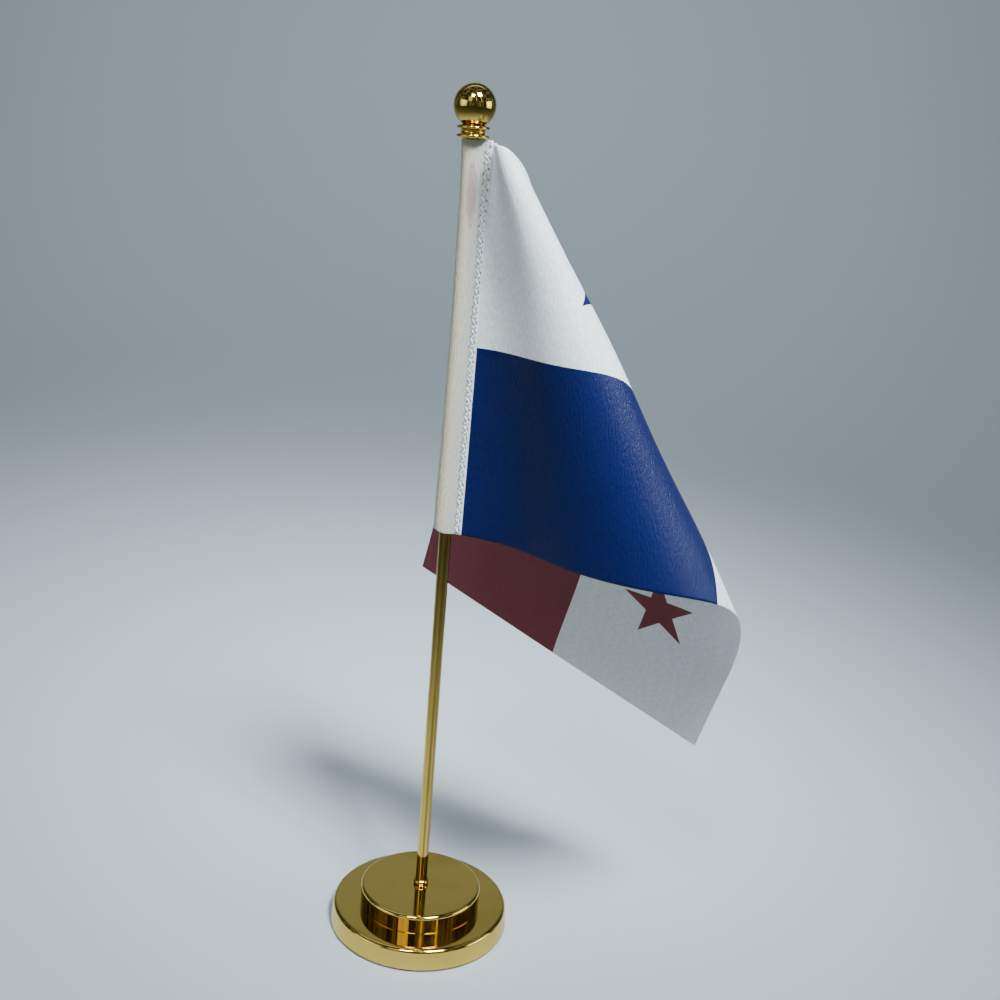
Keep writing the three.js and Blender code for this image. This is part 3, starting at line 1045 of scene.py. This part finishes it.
@dataclass
class HangingSheet:
    """How the flag hangs: nearly a cone whose tip lies above the hoist's upper end.

    Angles are in radians round the tip, counted from the hoist. Close to the tip the cloth
    is too stiff for a sharp fold, so there it bows forward and rolls over more broadly.
    """

    fly: float = 210.0 * MM
    drop: float = 140.0 * MM
    tip_rise: float = 13.6 * MM
    heading: float = math.radians(-19.25)
    front_bow: float = 1.085
    front_wave: float = 1.943
    wave_phase: float = 1.074
    fold_angle: float = math.radians(34.64)
    fold_spread: float = math.radians(8.04)
    fold_turn: float = math.radians(-201.0)
    back_bow: float = 0.45
    back_curl: float = -0.37
    near_start: float = 15.7 * MM
    near_decay: float = 31.7 * MM
    near_bow: float = 3.52
    near_turn: float = math.radians(-33.0)
    start: float = 7.3 * MM
    top: float = 304.4 * MM
    seam_drift: float = 1.0 * MM
    drift_reach: float = 50.0 * MM
    steps: int = 480
    bands: int = 28

    def __post_init__(self) -> None:
        """Walks the rulings' directions from the hoist to the top edge, at each reach."""
        farthest = math.hypot(self.fly, self.drop + self.tip_rise)
        self.reaches = np.geomspace(self.tip_rise * 0.7, farthest, self.bands)
        near = np.exp(-np.maximum(self.reaches - self.near_start, 0.0) / self.near_decay)[:, None]
        angles = np.linspace(0.0, math.pi / 2, self.steps + 1)
        bends = self.bend(angles[None, :], near)
        ahead = (math.cos(self.heading), math.sin(self.heading), 0.0)
        ruling = np.tile((0.0, 0.0, -1.0), (self.bands, 1))
        across = np.tile(ahead, (self.bands, 1))
        rows = [ruling]
        for i in range(self.steps):
            bend = (bends[:, i : i + 1] + bends[:, i + 1 : i + 2]) / 2
            axis = np.cross(ruling, across) + ruling * bend
            size = np.linalg.norm(axis, axis=1, keepdims=True)
            ruling, across = (
                self.rotated(vector, axis / size, size * angles[1]) for vector in (ruling, across)
            )
            rows.append(ruling)
        self.rulings = np.stack(rows, axis=1)

    @staticmethod
    def rotated(vector: np.ndarray, axis: np.ndarray, angle: np.ndarray) -> np.ndarray:
        """Vectors turned about axes.

        Args:
            vector: one vector for each row.
            axis: unit axes.
            angle: turns in radians.

        Returns:
            The turned vectors.
        """
        along = axis * (axis * vector).sum(axis=1, keepdims=True)
        return along + (vector - along) * np.cos(angle) + np.cross(axis, vector) * np.sin(angle)

    def bend(self, angle: np.ndarray, near: np.ndarray) -> np.ndarray:
        """How sharply the sheet bends, per radian round the tip.

        Args:
            angle: angles round the tip.
            near: 1 close to the tip, falling to 0 away from it.

        Returns:
            The bends.
        """
        past = 1.0 / (1.0 + np.exp(-(angle - self.fold_angle) / (self.fold_spread * 0.6)))
        wave = self.front_wave * np.sin(2 * math.pi * angle / self.fold_angle + self.wave_phase)
        turn = self.fold_turn + self.near_turn * near
        peak = turn / (self.fold_spread * math.sqrt(2 * math.pi))
        fold = peak * np.exp(-((angle - self.fold_angle) ** 2) / (2 * self.fold_spread**2))
        back = self.back_bow + self.back_curl * angle
        front = self.front_bow + self.near_bow * near + wave
        return front * (1 - past) + back * past + fold

    def points(self, fly: np.ndarray, drop: np.ndarray) -> np.ndarray:
        """Where points of the cut cloth hang.

        Args:
            fly: distances from the hoist line; below 0 they run straight back to the stitches.
            drop: distances down from the top edge.

        Returns:
            The points.
        """
        out = np.maximum(fly, 0.0)
        reach = np.hypot(out, drop + self.tip_rise)
        place = np.arctan2(out, drop + self.tip_rise) / (math.pi / 2) * self.steps
        column = np.clip(place.astype(int), 0, self.steps - 1)
        band = np.clip(np.searchsorted(self.reaches, reach) - 1, 0, self.bands - 2)
        side = (place - column)[..., None]
        nearer, farther = self.reaches[band], self.reaches[band + 1]
        share = ((reach - nearer) / (farther - nearer))[..., None]
        low, high = (
            self.rulings[row, column] * (1 - side) + self.rulings[row, column + 1] * side
            for row in (band, band + 1)
        )
        ruling = low * (1 - share) + high * share
        ruling /= np.linalg.norm(ruling, axis=-1, keepdims=True)
        ahead = np.array([math.cos(self.heading), math.sin(self.heading), 0.0])
        tip = ahead * self.start + np.array([0.0, 0.0, self.top + self.tip_rise])
        strayed = self.drift(1 - drop / self.drop) * np.exp(-out / self.drift_reach)
        back = np.minimum(fly, 0.0) - strayed
        return tip + reach[..., None] * ruling + back[..., None] * ahead

    def drift(self, share: np.ndarray) -> np.ndarray:
        """How far the seam strays back towards the pole, at a share of the pocket's height."""
        return self.seam_drift * (1 - share) ** 2


@dataclass
class Flag:
    """The satin flag as one cut sheet, with puckers along its seam."""

    sheet: HangingSheet
    material: bpy.types.Material
    columns: int = 220
    rows: int = 146
    hem: float = 2.6 * MM
    thickness: float = 0.22 * MM
    pucker_height: float = 0.28 * MM
    pucker_reach: float = 9.0 * MM
    slack_height: float = 0.35 * MM
    slack_reach: float = 20.0 * MM

    def build(self) -> bpy.types.Object:
        """Builds the flag's sheet.

        Returns:
            The flag.
        """
        open_cloth = np.linspace(0.0, self.sheet.fly, self.columns)
        fly = np.concatenate([[-self.hem, -self.hem / 2], open_cloth])
        drop = np.linspace(0.0, self.sheet.drop, self.rows)
        fly_grid, drop_grid = np.meshgrid(fly, drop, indexing="ij")
        points = self.sheet.points(fly_grid, drop_grid)
        points = points + sheet_normals(points) * self.puckers(fly_grid, drop_grid)[..., None]
        u, v = fly_grid / self.sheet.fly, 1 - drop_grid / self.sheet.drop
        piece = closed_sheet("flag_satin_sheet", points, self.thickness, u, v)
        reverse = piece.data.attributes.new("reverse", "FLOAT", "POINT")
        sides = np.repeat([0.0, 1.0], fly_grid.size)
        reverse.data.foreach_set("value", sides.astype(np.float32))
        return piece

    def puckers(self, fly: np.ndarray, drop: np.ndarray) -> np.ndarray:
        """Small waves that the stitches pull into the cloth, dying out away from them.

        Args:
            fly: distances from the hoist line.
            drop: distances down from the top edge.

        Returns:
            How far the cloth stands off its smooth shape.
        """
        fade = np.exp(-np.maximum(fly, 0.0) / self.pucker_reach) * (fly > 0)
        small = np.sin(drop / (4.3 * MM) * 2 * math.pi + 1.3 * np.sin(drop / (17 * MM)))
        large = np.sin(drop / (31 * MM) * 2 * math.pi + 0.7)
        slack = np.sin(fly / (58 * MM) * 2 * math.pi + drop / (90 * MM) * 2.0)
        ramp = np.minimum(np.maximum(fly, 0.0) / self.slack_reach, 1.0)
        pulled = self.pucker_height * fade * (0.15 * small + 0.6 * large)
        return pulled + self.slack_height * ramp * slack

    def finish(self, piece: bpy.types.Object, pocket: bpy.types.Object) -> None:
        """Args:
            piece: the flag.
            pocket: the pocket it is sewn to; not used.
        """
        dress(piece, self.material, Slot.FLAG, Body.POLE, "flag_cloth")


# ---- pocket ---------------------------------------------------------------------------


@dataclass
class Pocket:
    """The satin pocket round the pole, its seam allowance and its stitches."""

    sheet: HangingSheet
    material: bpy.types.Material
    thread: bpy.types.Material
    cloth: float = 0.3 * MM
    looseness: float = 0.42 * MM
    stitch_offset: float = 4.9 * MM
    allowance: float = 2.1 * MM
    head_rise: float = 0.6 * MM
    corner_rise: float = 0.1 * MM
    corner_lift: float = 0.5 * MM
    seam_half: float = 0.45 * MM
    groove: float = 0.62
    stitch_shift: float = 0.65 * MM
    stitch_pitch: float = 1.75 * MM
    stitch_length: float = 1.62 * MM
    stitch_lean: float = 0.5
    thread_radius: float = 0.21 * MM
    round_length: float = 24.5 * MM
    foot_width: float = 0.55 * MM
    head_width: float = 0.2 * MM
    foot_lean: float = 1.2 * MM
    head_lean: float = 0.7 * MM
    head_pull: float = 0.45 * MM
    foot_trim: float = 1.6 * MM
    rows: int = 330

    def section(self, height: float, share: float) -> np.ndarray:
        """Middle line of the cloth round the pole at one height.

        Args:
            height: height above the table.
            share: the same height as a share of the pocket, 0 at its foot.

        Returns:
            Points (along the heading, across it) from the front edge round to the back edge.
        """
        sag = 0.5 + 0.5 * math.sin(share * 19.0) * math.sin(share * 7.3 + 1.0)
        foot, head = (1.0 - share) ** 2, share**6
        radius = ring_heights("pole_tube")[0] + self.looseness * (0.8 + 0.4 * sag)
        radius += self.foot_width * foot + self.head_width * head
        shift = -(self.foot_lean * foot + self.head_lean * head)
        shift -= 0.1 * MM * math.sin(share * 11.0) ** 2
        wobble = 0.07 * MM * math.sin(height / (5.5 * MM) + 2.0 * math.sin(height / (23 * MM)))
        ragged = 0.12 * MM * math.sin(height / (4.1 * MM) + math.sin(height / (13 * MM)))
        stitch = self.seam(share) + wobble
        end = stitch + self.allowance + ragged
        half, groove = self.seam_half, self.seam_half * self.groove
        flare = 0.12 * MM * math.sin(height / (2.9 * MM) + 1.0)
        front = [(end, -half - 0.06 * MM - flare), (end - 0.3 * MM, -half - flare / 2)]
        front += [(stitch + 1.4 * MM, -groove * 1.15), (stitch + 0.65 * MM, -groove)]
        front += [(stitch - 0.1 * MM, -groove), (stitch - 0.5 * MM, -half * 0.95)]
        angle = math.acos(min(radius / (front[-1][0] - shift), 0.98)) + 0.12
        turns = np.linspace(angle, 2 * math.pi - angle, 34)
        wrap = [(shift + radius * math.cos(a), -radius * math.sin(a)) for a in turns]
        (x0, y0), (x1, y1) = front[-1], wrap[0]
        bridge = [(x0 + (x1 - x0) * k, y0 + (y1 - y0) * k) for k in (0.33, 0.67)]
        lead = front + bridge
        return np.array(lead + wrap + [(x, -y) for x, y in reversed(lead)])

    def seam(self, share: float) -> float:
        """Distance of the stitches from the pole's axis, at a share of the pocket's height."""
        return self.stitch_offset - float(self.sheet.drift(share)) + self.head_pull * share**6

    def build(self) -> bpy.types.Object:
        """Builds the pocket.

        Returns:
            The pocket, dressed.
        """
        low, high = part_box("flag_sleeve")
        shares = np.linspace(0.0, 1.0, self.rows)
        lines = np.array([self.section(low.z + (high.z - low.z) * t, t) for t in shares])
        heading = self.sheet.heading
        ahead = np.array([math.cos(heading), math.sin(heading), 0.0])
        aside = np.array([-math.sin(heading), math.cos(heading), 0.0])
        points = lines[..., :1] * ahead + lines[..., 1:] * aside
        ahead_of_pole = lines[..., 0] - self.stitch_offset * 0.6
        seamward = np.clip(ahead_of_pole / self.stitch_offset, 0.0, 1.0)
        heights = low.z + (high.z - low.z) * shares[:, None]
        foot_end = self.end_trim(lines) + self.corner_lift * seamward
        head_end = self.head_rise + self.corner_rise * seamward
        ends = foot_end * (1 - shares[:, None]) ** 40 + head_end * shares[:, None] ** 40
        points[..., 2] = heights + ends
        steps = np.linalg.norm(np.diff(lines[self.rows // 2], axis=0), axis=1)
        length = float(steps.sum())
        across = np.concatenate([[0.0], np.cumsum(steps)]) / length
        v, u = np.meshgrid(shares, across, indexing="ij")
        piece = closed_sheet("pocket_satin_strip", points, self.cloth, u, v)
        dress(piece, self.material, Slot.POCKET, Body.POLE, "flag_sleeve")
        return piece

    def end_trim(self, lines: np.ndarray) -> np.ndarray:
        """How far the lower end is cut back round the pole.

        Args:
            lines: the sections' points.

        Returns:
            The distance at each point.
        """
        behind = self.stitch_offset - lines[..., 0]
        away = np.clip(behind / (self.stitch_offset * 1.6), 0.0, 1.0)
        return self.foot_trim * away**2

    def stitches(self) -> None:
        """A row of stitches on each side of the seam, from a Geometry Nodes tree."""
        low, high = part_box("seam_stitching")
        heading = self.sheet.heading
        holder = add_mesh("seam_stitches", np.zeros((1, 3)), [])
        modifier = holder.modifiers.new("stitches", "NODES")
        modifier.node_group = stitch_tree(self.thread)
        sizes = {
            "Count": int((high.z - low.z) / self.stitch_pitch) + 1,
            "Pitch": self.stitch_pitch,
            "Length": self.stitch_length,
            "Lean": self.stitch_lean,
            "Radius": self.thread_radius,
            "Offset": self.stitch_offset + self.stitch_shift,
            "Side": self.seam_half * self.groove + self.cloth / 2 + self.thread_radius * 0.8,
            "Foot": low.z,
            "Heading": heading,
        }
        for item in modifier.node_group.interface.items_tree:
            if item.name in sizes:
                modifier[item.identifier] = sizes[item.name]
        graph = bpy.context.evaluated_depsgraph_get()
        baked = bpy.data.meshes.new_from_object(holder.evaluated_get(graph))
        ahead = Vector((math.cos(heading), math.sin(heading), 0.0))
        for vertex in baked.vertices:
            share = min(max((vertex.co.z - low.z) / (high.z - low.z), 0.0), 1.0)
            vertex.co += ahead * (self.seam(share) - self.stitch_offset)
        holder.modifiers.clear()
        holder.data = baked
        dress(holder, self.thread, Slot.THREAD, Body.POLE, "seam_stitching")


def stitch_tree(material: bpy.types.Material) -> bpy.types.GeometryNodeTree:
    """Nodes that lay zigzag stitches along both faces of a seam.

    Args:
        material: the thread's finish.

    Returns:
        The node tree.
    """
    tree = bpy.data.node_groups.new("stitch_row", "GeometryNodeTree")
    tree.interface.new_socket("Geometry", in_out="OUTPUT", socket_type="NodeSocketGeometry")
    tree.interface.new_socket("Geometry", in_out="INPUT", socket_type="NodeSocketGeometry")
    tree.interface.new_socket("Count", in_out="INPUT", socket_type="NodeSocketInt")
    for name in ("Pitch", "Length", "Lean", "Radius", "Offset", "Side", "Foot", "Heading"):
        tree.interface.new_socket(name, in_out="INPUT", socket_type="NodeSocketFloat")
    n = Nodes(tree)
    given = n.node("NodeGroupInput").outputs
    shape = one_stitch(n, given)
    join = n.node("GeometryNodeJoinGeometry")
    for face, seed in ((-1.0, 3), (1.0, 11)):
        line = n.node("GeometryNodeMeshLine")
        n.link(given["Count"], line.inputs["Count"])
        first = n.triple(given["Offset"], n.math("MULTIPLY", given["Side"], face), given["Foot"])
        n.link(first, line.inputs["Start Location"])
        n.link(n.triple(0.0, 0.0, given["Pitch"]), line.inputs["Offset"])
        jitter = n.node("FunctionNodeRandomValue", data_type="FLOAT_VECTOR")
        jitter.inputs["Min"].default_value = (-0.1, -0.14, -0.08)
        jitter.inputs["Max"].default_value = (0.1, 0.14, 0.08)
        jitter.inputs["Seed"].default_value = seed
        odd = n.math("MODULO", n.node("GeometryNodeInputIndex").outputs[0], 2.0)
        slant = n.math("ARCTAN2", given["Lean"], 0.5)
        twist = n.math("MULTIPLY", odd, n.math("MULTIPLY", slant, -2.0))
        turned_stitch = n.node("ShaderNodeVectorMath", operation="ADD")
        n.link(jitter.outputs[0], turned_stitch.inputs[0])
        n.link(n.triple(0.0, twist, math.pi if face < 0 else 0.0), turned_stitch.inputs[1])
        copies = n.node("GeometryNodeInstanceOnPoints")
        n.link(line.outputs[0], copies.inputs["Points"])
        n.link(shape, copies.inputs["Instance"])
        n.link(turned_stitch.outputs[0], copies.inputs["Rotation"])
        n.link(copies.outputs[0], join.inputs[0])
    real = n.node("GeometryNodeRealizeInstances")
    n.link(join.outputs[0], real.inputs[0])
    turn = n.node("GeometryNodeTransform")
    n.link(real.outputs[0], turn.inputs[0])
    n.link(n.triple(0.0, 0.0, given["Heading"]), turn.inputs["Rotation"])
    smooth = n.node("GeometryNodeSetShadeSmooth")
    n.link(turn.outputs[0], smooth.inputs[0])
    paint = n.node("GeometryNodeSetMaterial")
    paint.inputs["Material"].default_value = material
    n.link(smooth.outputs[0], paint.inputs[0])
    n.link(paint.outputs[0], n.node("NodeGroupOutput").inputs[0])
    return tree


def one_stitch(n: Nodes, given: bpy.types.NodeOutputs) -> Socket:
    """One stitch: a bowed thread that dives into the cloth at both ends.

    Args:
        n: the tree.
        given: the tree's inputs.

    Returns:
        The stitch's geometry.
    """
    half = n.math("MULTIPLY", given["Length"], 0.5)
    dip = n.math("MULTIPLY", given["Radius"], -1.6)
    crown = n.math("MULTIPLY", given["Radius"], 1.1)
    lean = n.math("MULTIPLY", given["Length"], given["Lean"])
    path = n.node("GeometryNodeCurvePrimitiveBezierSegment", mode="POSITION")
    path.inputs["Resolution"].default_value = 8
    corners = (
        ("Start", -1.0, dip, -1.0),
        ("Start Handle", -0.5, crown, -0.9),
        ("End Handle", 0.5, crown, 0.9),
        ("End", 1.0, dip, 1.0),
    )
    for name, sideways, height, along in corners:
        x, z = n.math("MULTIPLY", lean, sideways), n.math("MULTIPLY", half, along)
        n.link(n.triple(x, height, z), path.inputs[name])
    circle = n.node("GeometryNodeCurvePrimitiveCircle")
    circle.inputs["Resolution"].default_value = 8
    n.link(given["Radius"], circle.inputs["Radius"])
    sweep = n.node("GeometryNodeCurveToMesh")
    sweep.inputs["Fill Caps"].default_value = True
    n.link(path.outputs[0], sweep.inputs["Curve"])
    n.link(circle.outputs[0], sweep.inputs["Profile Curve"])
    return sweep.outputs[0]


# ---- carried-over nodes ---------------------------------------------------------------


def finish_nodes(finishes: dict[str, bpy.types.Material]) -> None:
    """Gives each CAD node that stays its finish.

    Args:
        finishes: material for each node's name.
    """
    for name, material in finishes.items():
        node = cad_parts[name]
        node.data.materials.clear()
        node.data.materials.append(material)


# ---- studio ---------------------------------------------------------------------------


@dataclass(frozen=True)
class Lamp:
    """A rectangular soft light.

    Its bearing is in degrees to the right of the front, seen from above, its lift in degrees
    above the level, and its reach is measured from the object's middle. Its size is its width
    and height, its power is in watts, and its spread is the width of its beam in degrees. It
    faces its aim, or the object's middle where it has none.
    """

    name: str
    bearing: float
    lift: float
    reach: float
    size: tuple[float, float]
    power: float
    spread: float = 80.0
    aim: tuple[float, float, float] | None = None


LAMPS = (
    Lamp("key_light", 32.0, 58.0, 1.3, (0.36, 0.36), 2.8, 34.0, (0.04, 0.12, 0.14)),
    Lamp("second_light", -18.0, 52.0, 1.3, (0.28, 0.28), 0.6, 44.0, (0.0, 0.06, 0.15)),
    Lamp("left_panel", -64.0, 12.0, 1.3, (0.9, 0.6), 0.42, 60.0),
    Lamp("left_strip", -29.0, 33.0, 1.5, (0.46, 0.6), 0.17),
    Lamp("front_strip", 5.0, 36.0, 1.5, (0.014, 0.5), 0.022),
    Lamp("right_strip", 35.0, 33.0, 1.4, (0.04, 0.5), 0.03),
    Lamp("right_panel", 82.0, 12.0, 1.3, (0.8, 0.6), 0.9, 60.0),
    Lamp("rear_wash", 180.0, 64.0, 1.45, (1.8, 0.5), 11.0, 130.0, (0.0, 1.4, 0.35)),
)


@dataclass
class Studio:
    """Camera, floor and soft lights."""

    distance: float = 0.4431
    height: float = 0.3039
    focal_length: float = 45.0
    sensor_width: float = 36.0
    pitch: float = math.radians(15.804)
    yaw: float = math.radians(2.492)
    roll: float = math.radians(4.663)
    middle: Vector = field(default_factory=lambda: Vector((0.03, 0.0, 0.17)))
    light_colour: tuple[float, float, float] = (0.84, 0.94, 1.0)
    floor_colour: Colour = (0.39, 0.43, 0.455, 1.0)
    floor_half_width: float = 3.0
    floor_front: float = -3.0
    floor_depth: float = 1.6
    backdrop_height: float = 2.2
    backdrop_bend: float = 0.8
    band_scale: tuple[float, float, float] = (6.0, 6.0, 0.5)
    band_tones: tuple[Colour, Colour] = ((0.012, 0.012, 0.012, 1.0), (0.42, 0.51, 0.56, 1.0))
    band_edges: tuple[float, float] = (0.46, 0.62)
    plain_tone: Colour = (0.13, 0.15, 0.16, 1.0)
    world_strength: float = 0.75

    def camera(self) -> None:
        """Camera at the object's usual viewing angle."""
        data = bpy.data.cameras.new("camera")
        data.lens = self.focal_length
        data.sensor_width = self.sensor_width
        data.clip_start = 0.01
        eye = bpy.data.objects.new("camera", data)
        ahead = Vector((math.sin(self.yaw), math.cos(self.yaw), 0.0))
        forward = math.cos(self.pitch) * ahead - math.sin(self.pitch) * Vector((0.0, 0.0, 1.0))
        level = Vector((math.cos(self.yaw), -math.sin(self.yaw), 0.0))
        upright = level.cross(forward)
        right = math.cos(self.roll) * level + math.sin(self.roll) * upright
        up = -math.sin(self.roll) * level + math.cos(self.roll) * upright
        turn = Matrix((right, up, -forward)).transposed()
        eye.matrix_world = Matrix.Translation((0.0, -self.distance, self.height)) @ turn.to_4x4()
        bpy.context.scene.collection.objects.link(eye)
        bpy.context.scene.camera = eye

    def floor(self) -> None:
        """Pale floor that curves up into a backdrop behind the object."""
        bend = self.backdrop_bend
        flat_end = self.floor_depth - bend
        outline = [(self.floor_front, 0.0), (flat_end, 0.0)]
        for angle in np.radians(range(6, 91, 6)):
            outline.append((flat_end + bend * math.sin(angle), bend - bend * math.cos(angle)))
        outline.append((self.floor_depth, self.backdrop_height))
        edges = (-self.floor_half_width, self.floor_half_width)
        vertices = [(x, y, z) for y, z in outline for x in edges]
        faces = [(i, i + 1, i + 3, i + 2) for i in range(0, len(vertices) - 2, 2)]
        ground = add_mesh("studio_floor", np.array(vertices), faces)
        s = Shader("studio_floor")
        s.finish(s.principled(Base_Color=self.floor_colour, Roughness=0.85).outputs[0])
        ground.data.materials.append(s.material)

    def light(self, lamp: Lamp) -> None:
        """Adds one lamp, which lights the scene but isn't seen itself.

        Args:
            lamp: its place, size and power.
        """
        data = bpy.data.lights.new(lamp.name, "AREA")
        data.shape = "RECTANGLE"
        data.size, data.size_y = lamp.size
        data.energy = lamp.power
        data.color = self.light_colour
        data.spread = math.radians(lamp.spread)
        turn, rise = math.radians(lamp.bearing), math.radians(lamp.lift)
        level = Vector((math.sin(turn), -math.cos(turn), 0.0))
        away = math.cos(rise) * level + math.sin(rise) * Vector((0.0, 0.0, 1.0))
        place = self.middle + away * lamp.reach
        facing = place - (Vector(lamp.aim) if lamp.aim else self.middle)
        turned_to = facing.to_track_quat("Z", "Y").to_matrix().to_4x4()
        piece = bpy.data.objects.new(lamp.name, data)
        piece.visible_camera = False
        piece.matrix_world = Matrix.Translation(place) @ turned_to
        bpy.context.scene.collection.objects.link(piece)

    def world(self) -> None:
        """Dim surroundings with uneven upright bands, as a room gives to polished metal."""
        world = bpy.data.worlds.new("studio")
        world.use_nodes = True
        bpy.context.scene.world = world
        n = Nodes(world.node_tree)
        towards = n.node("ShaderNodeTexCoord").outputs["Generated"]
        bands = n.noise(n.mapped(towards, self.band_scale), 1.6, 6.0, 0.62)
        ramp = n.node("ShaderNodeValToRGB")
        n.link(bands, ramp.inputs[0])
        stops = zip(ramp.color_ramp.elements, self.band_edges, self.band_tones)
        for stop, edge, tone in stops:
            stop.position, stop.color = edge, tone
        seen = n.node("ShaderNodeMix", data_type="RGBA")
        n.link(n.node("ShaderNodeLightPath").outputs["Is Camera Ray"], seen.inputs[0])
        n.link(ramp.outputs[0], seen.inputs[6])
        seen.inputs[7].default_value = self.plain_tone
        background = world.node_tree.nodes["Background"]
        n.link(seen.outputs[2], background.inputs[0])
        background.inputs[1].default_value = self.world_strength

    def build(self) -> None:
        """Builds the whole studio."""
        self.camera()
        self.floor()
        self.world()
        for lamp in LAMPS:
            self.light(lamp)


def main() -> None:
    """Builds every piece in order."""
    logging.basicConfig(level=logging.INFO, format="%(name)s %(message)s")
    Studio().build()
    gold = GoldPlating().make()
    # The pole's plating, darkened by streaks that are partly painted dark reflection.
    drawn = GoldPlating(name="gold_plating_drawn", drawn=0.75).make()
    iron = BareMetal(
        name="cast_weight",
        colour=(0.09, 0.09, 0.095, 1.0),
        stain=(0.13, 0.085, 0.06, 1.0),
        roughness=0.6,
        grain=0.1 * MM,
    ).make()
    brass = BareMetal(
        name="turned_brass",
        colour=(0.62, 0.46, 0.17, 1.0),
        stain=(0.4, 0.27, 0.1, 1.0),
        roughness=0.28,
        grain=0.01 * MM,
    ).make()
    steel = BareMetal(
        name="bright_steel",
        colour=(0.58, 0.59, 0.6, 1.0),
        stain=(0.45, 0.44, 0.42, 1.0),
        roughness=0.3,
        grain=0.01 * MM,
    ).make()
    foam = Foam().make()
    tape = TapeFilm().make()
    finish_nodes(
        {
            "base_pad": foam,
            "disc_ballast": iron,
            "drum_weight": iron,
            "socket_bush": brass,
            "top_insert": brass,
            "clamp_washer": steel,
            "clamp_nut": steel,
            "foot_plug": steel,
            "finial_stud": steel,
            "tape_strip": tape,
        }
    )
    Base(gold).build()
    Pole(drawn).build()
    Finial(gold).build()
    sheet = HangingSheet()
    white_satin = PocketSatin(
        round_length=Pocket.round_length,
        drop=sheet.drop,
        stitch_inset=Pocket.allowance - Pocket.stitch_shift,
        stitch_pitch=Pocket.stitch_pitch,
    ).make()
    pocket = Pocket(sheet, white_satin, GlossThread().make())
    pocket_piece = pocket.build()
    pocket.stitches()
    flag = Flag(sheet, PrintedSatin(sheet.fly, sheet.drop).make())
    flag.finish(flag.build(), pocket_piece)


if __name__ == "__main__":
    main()
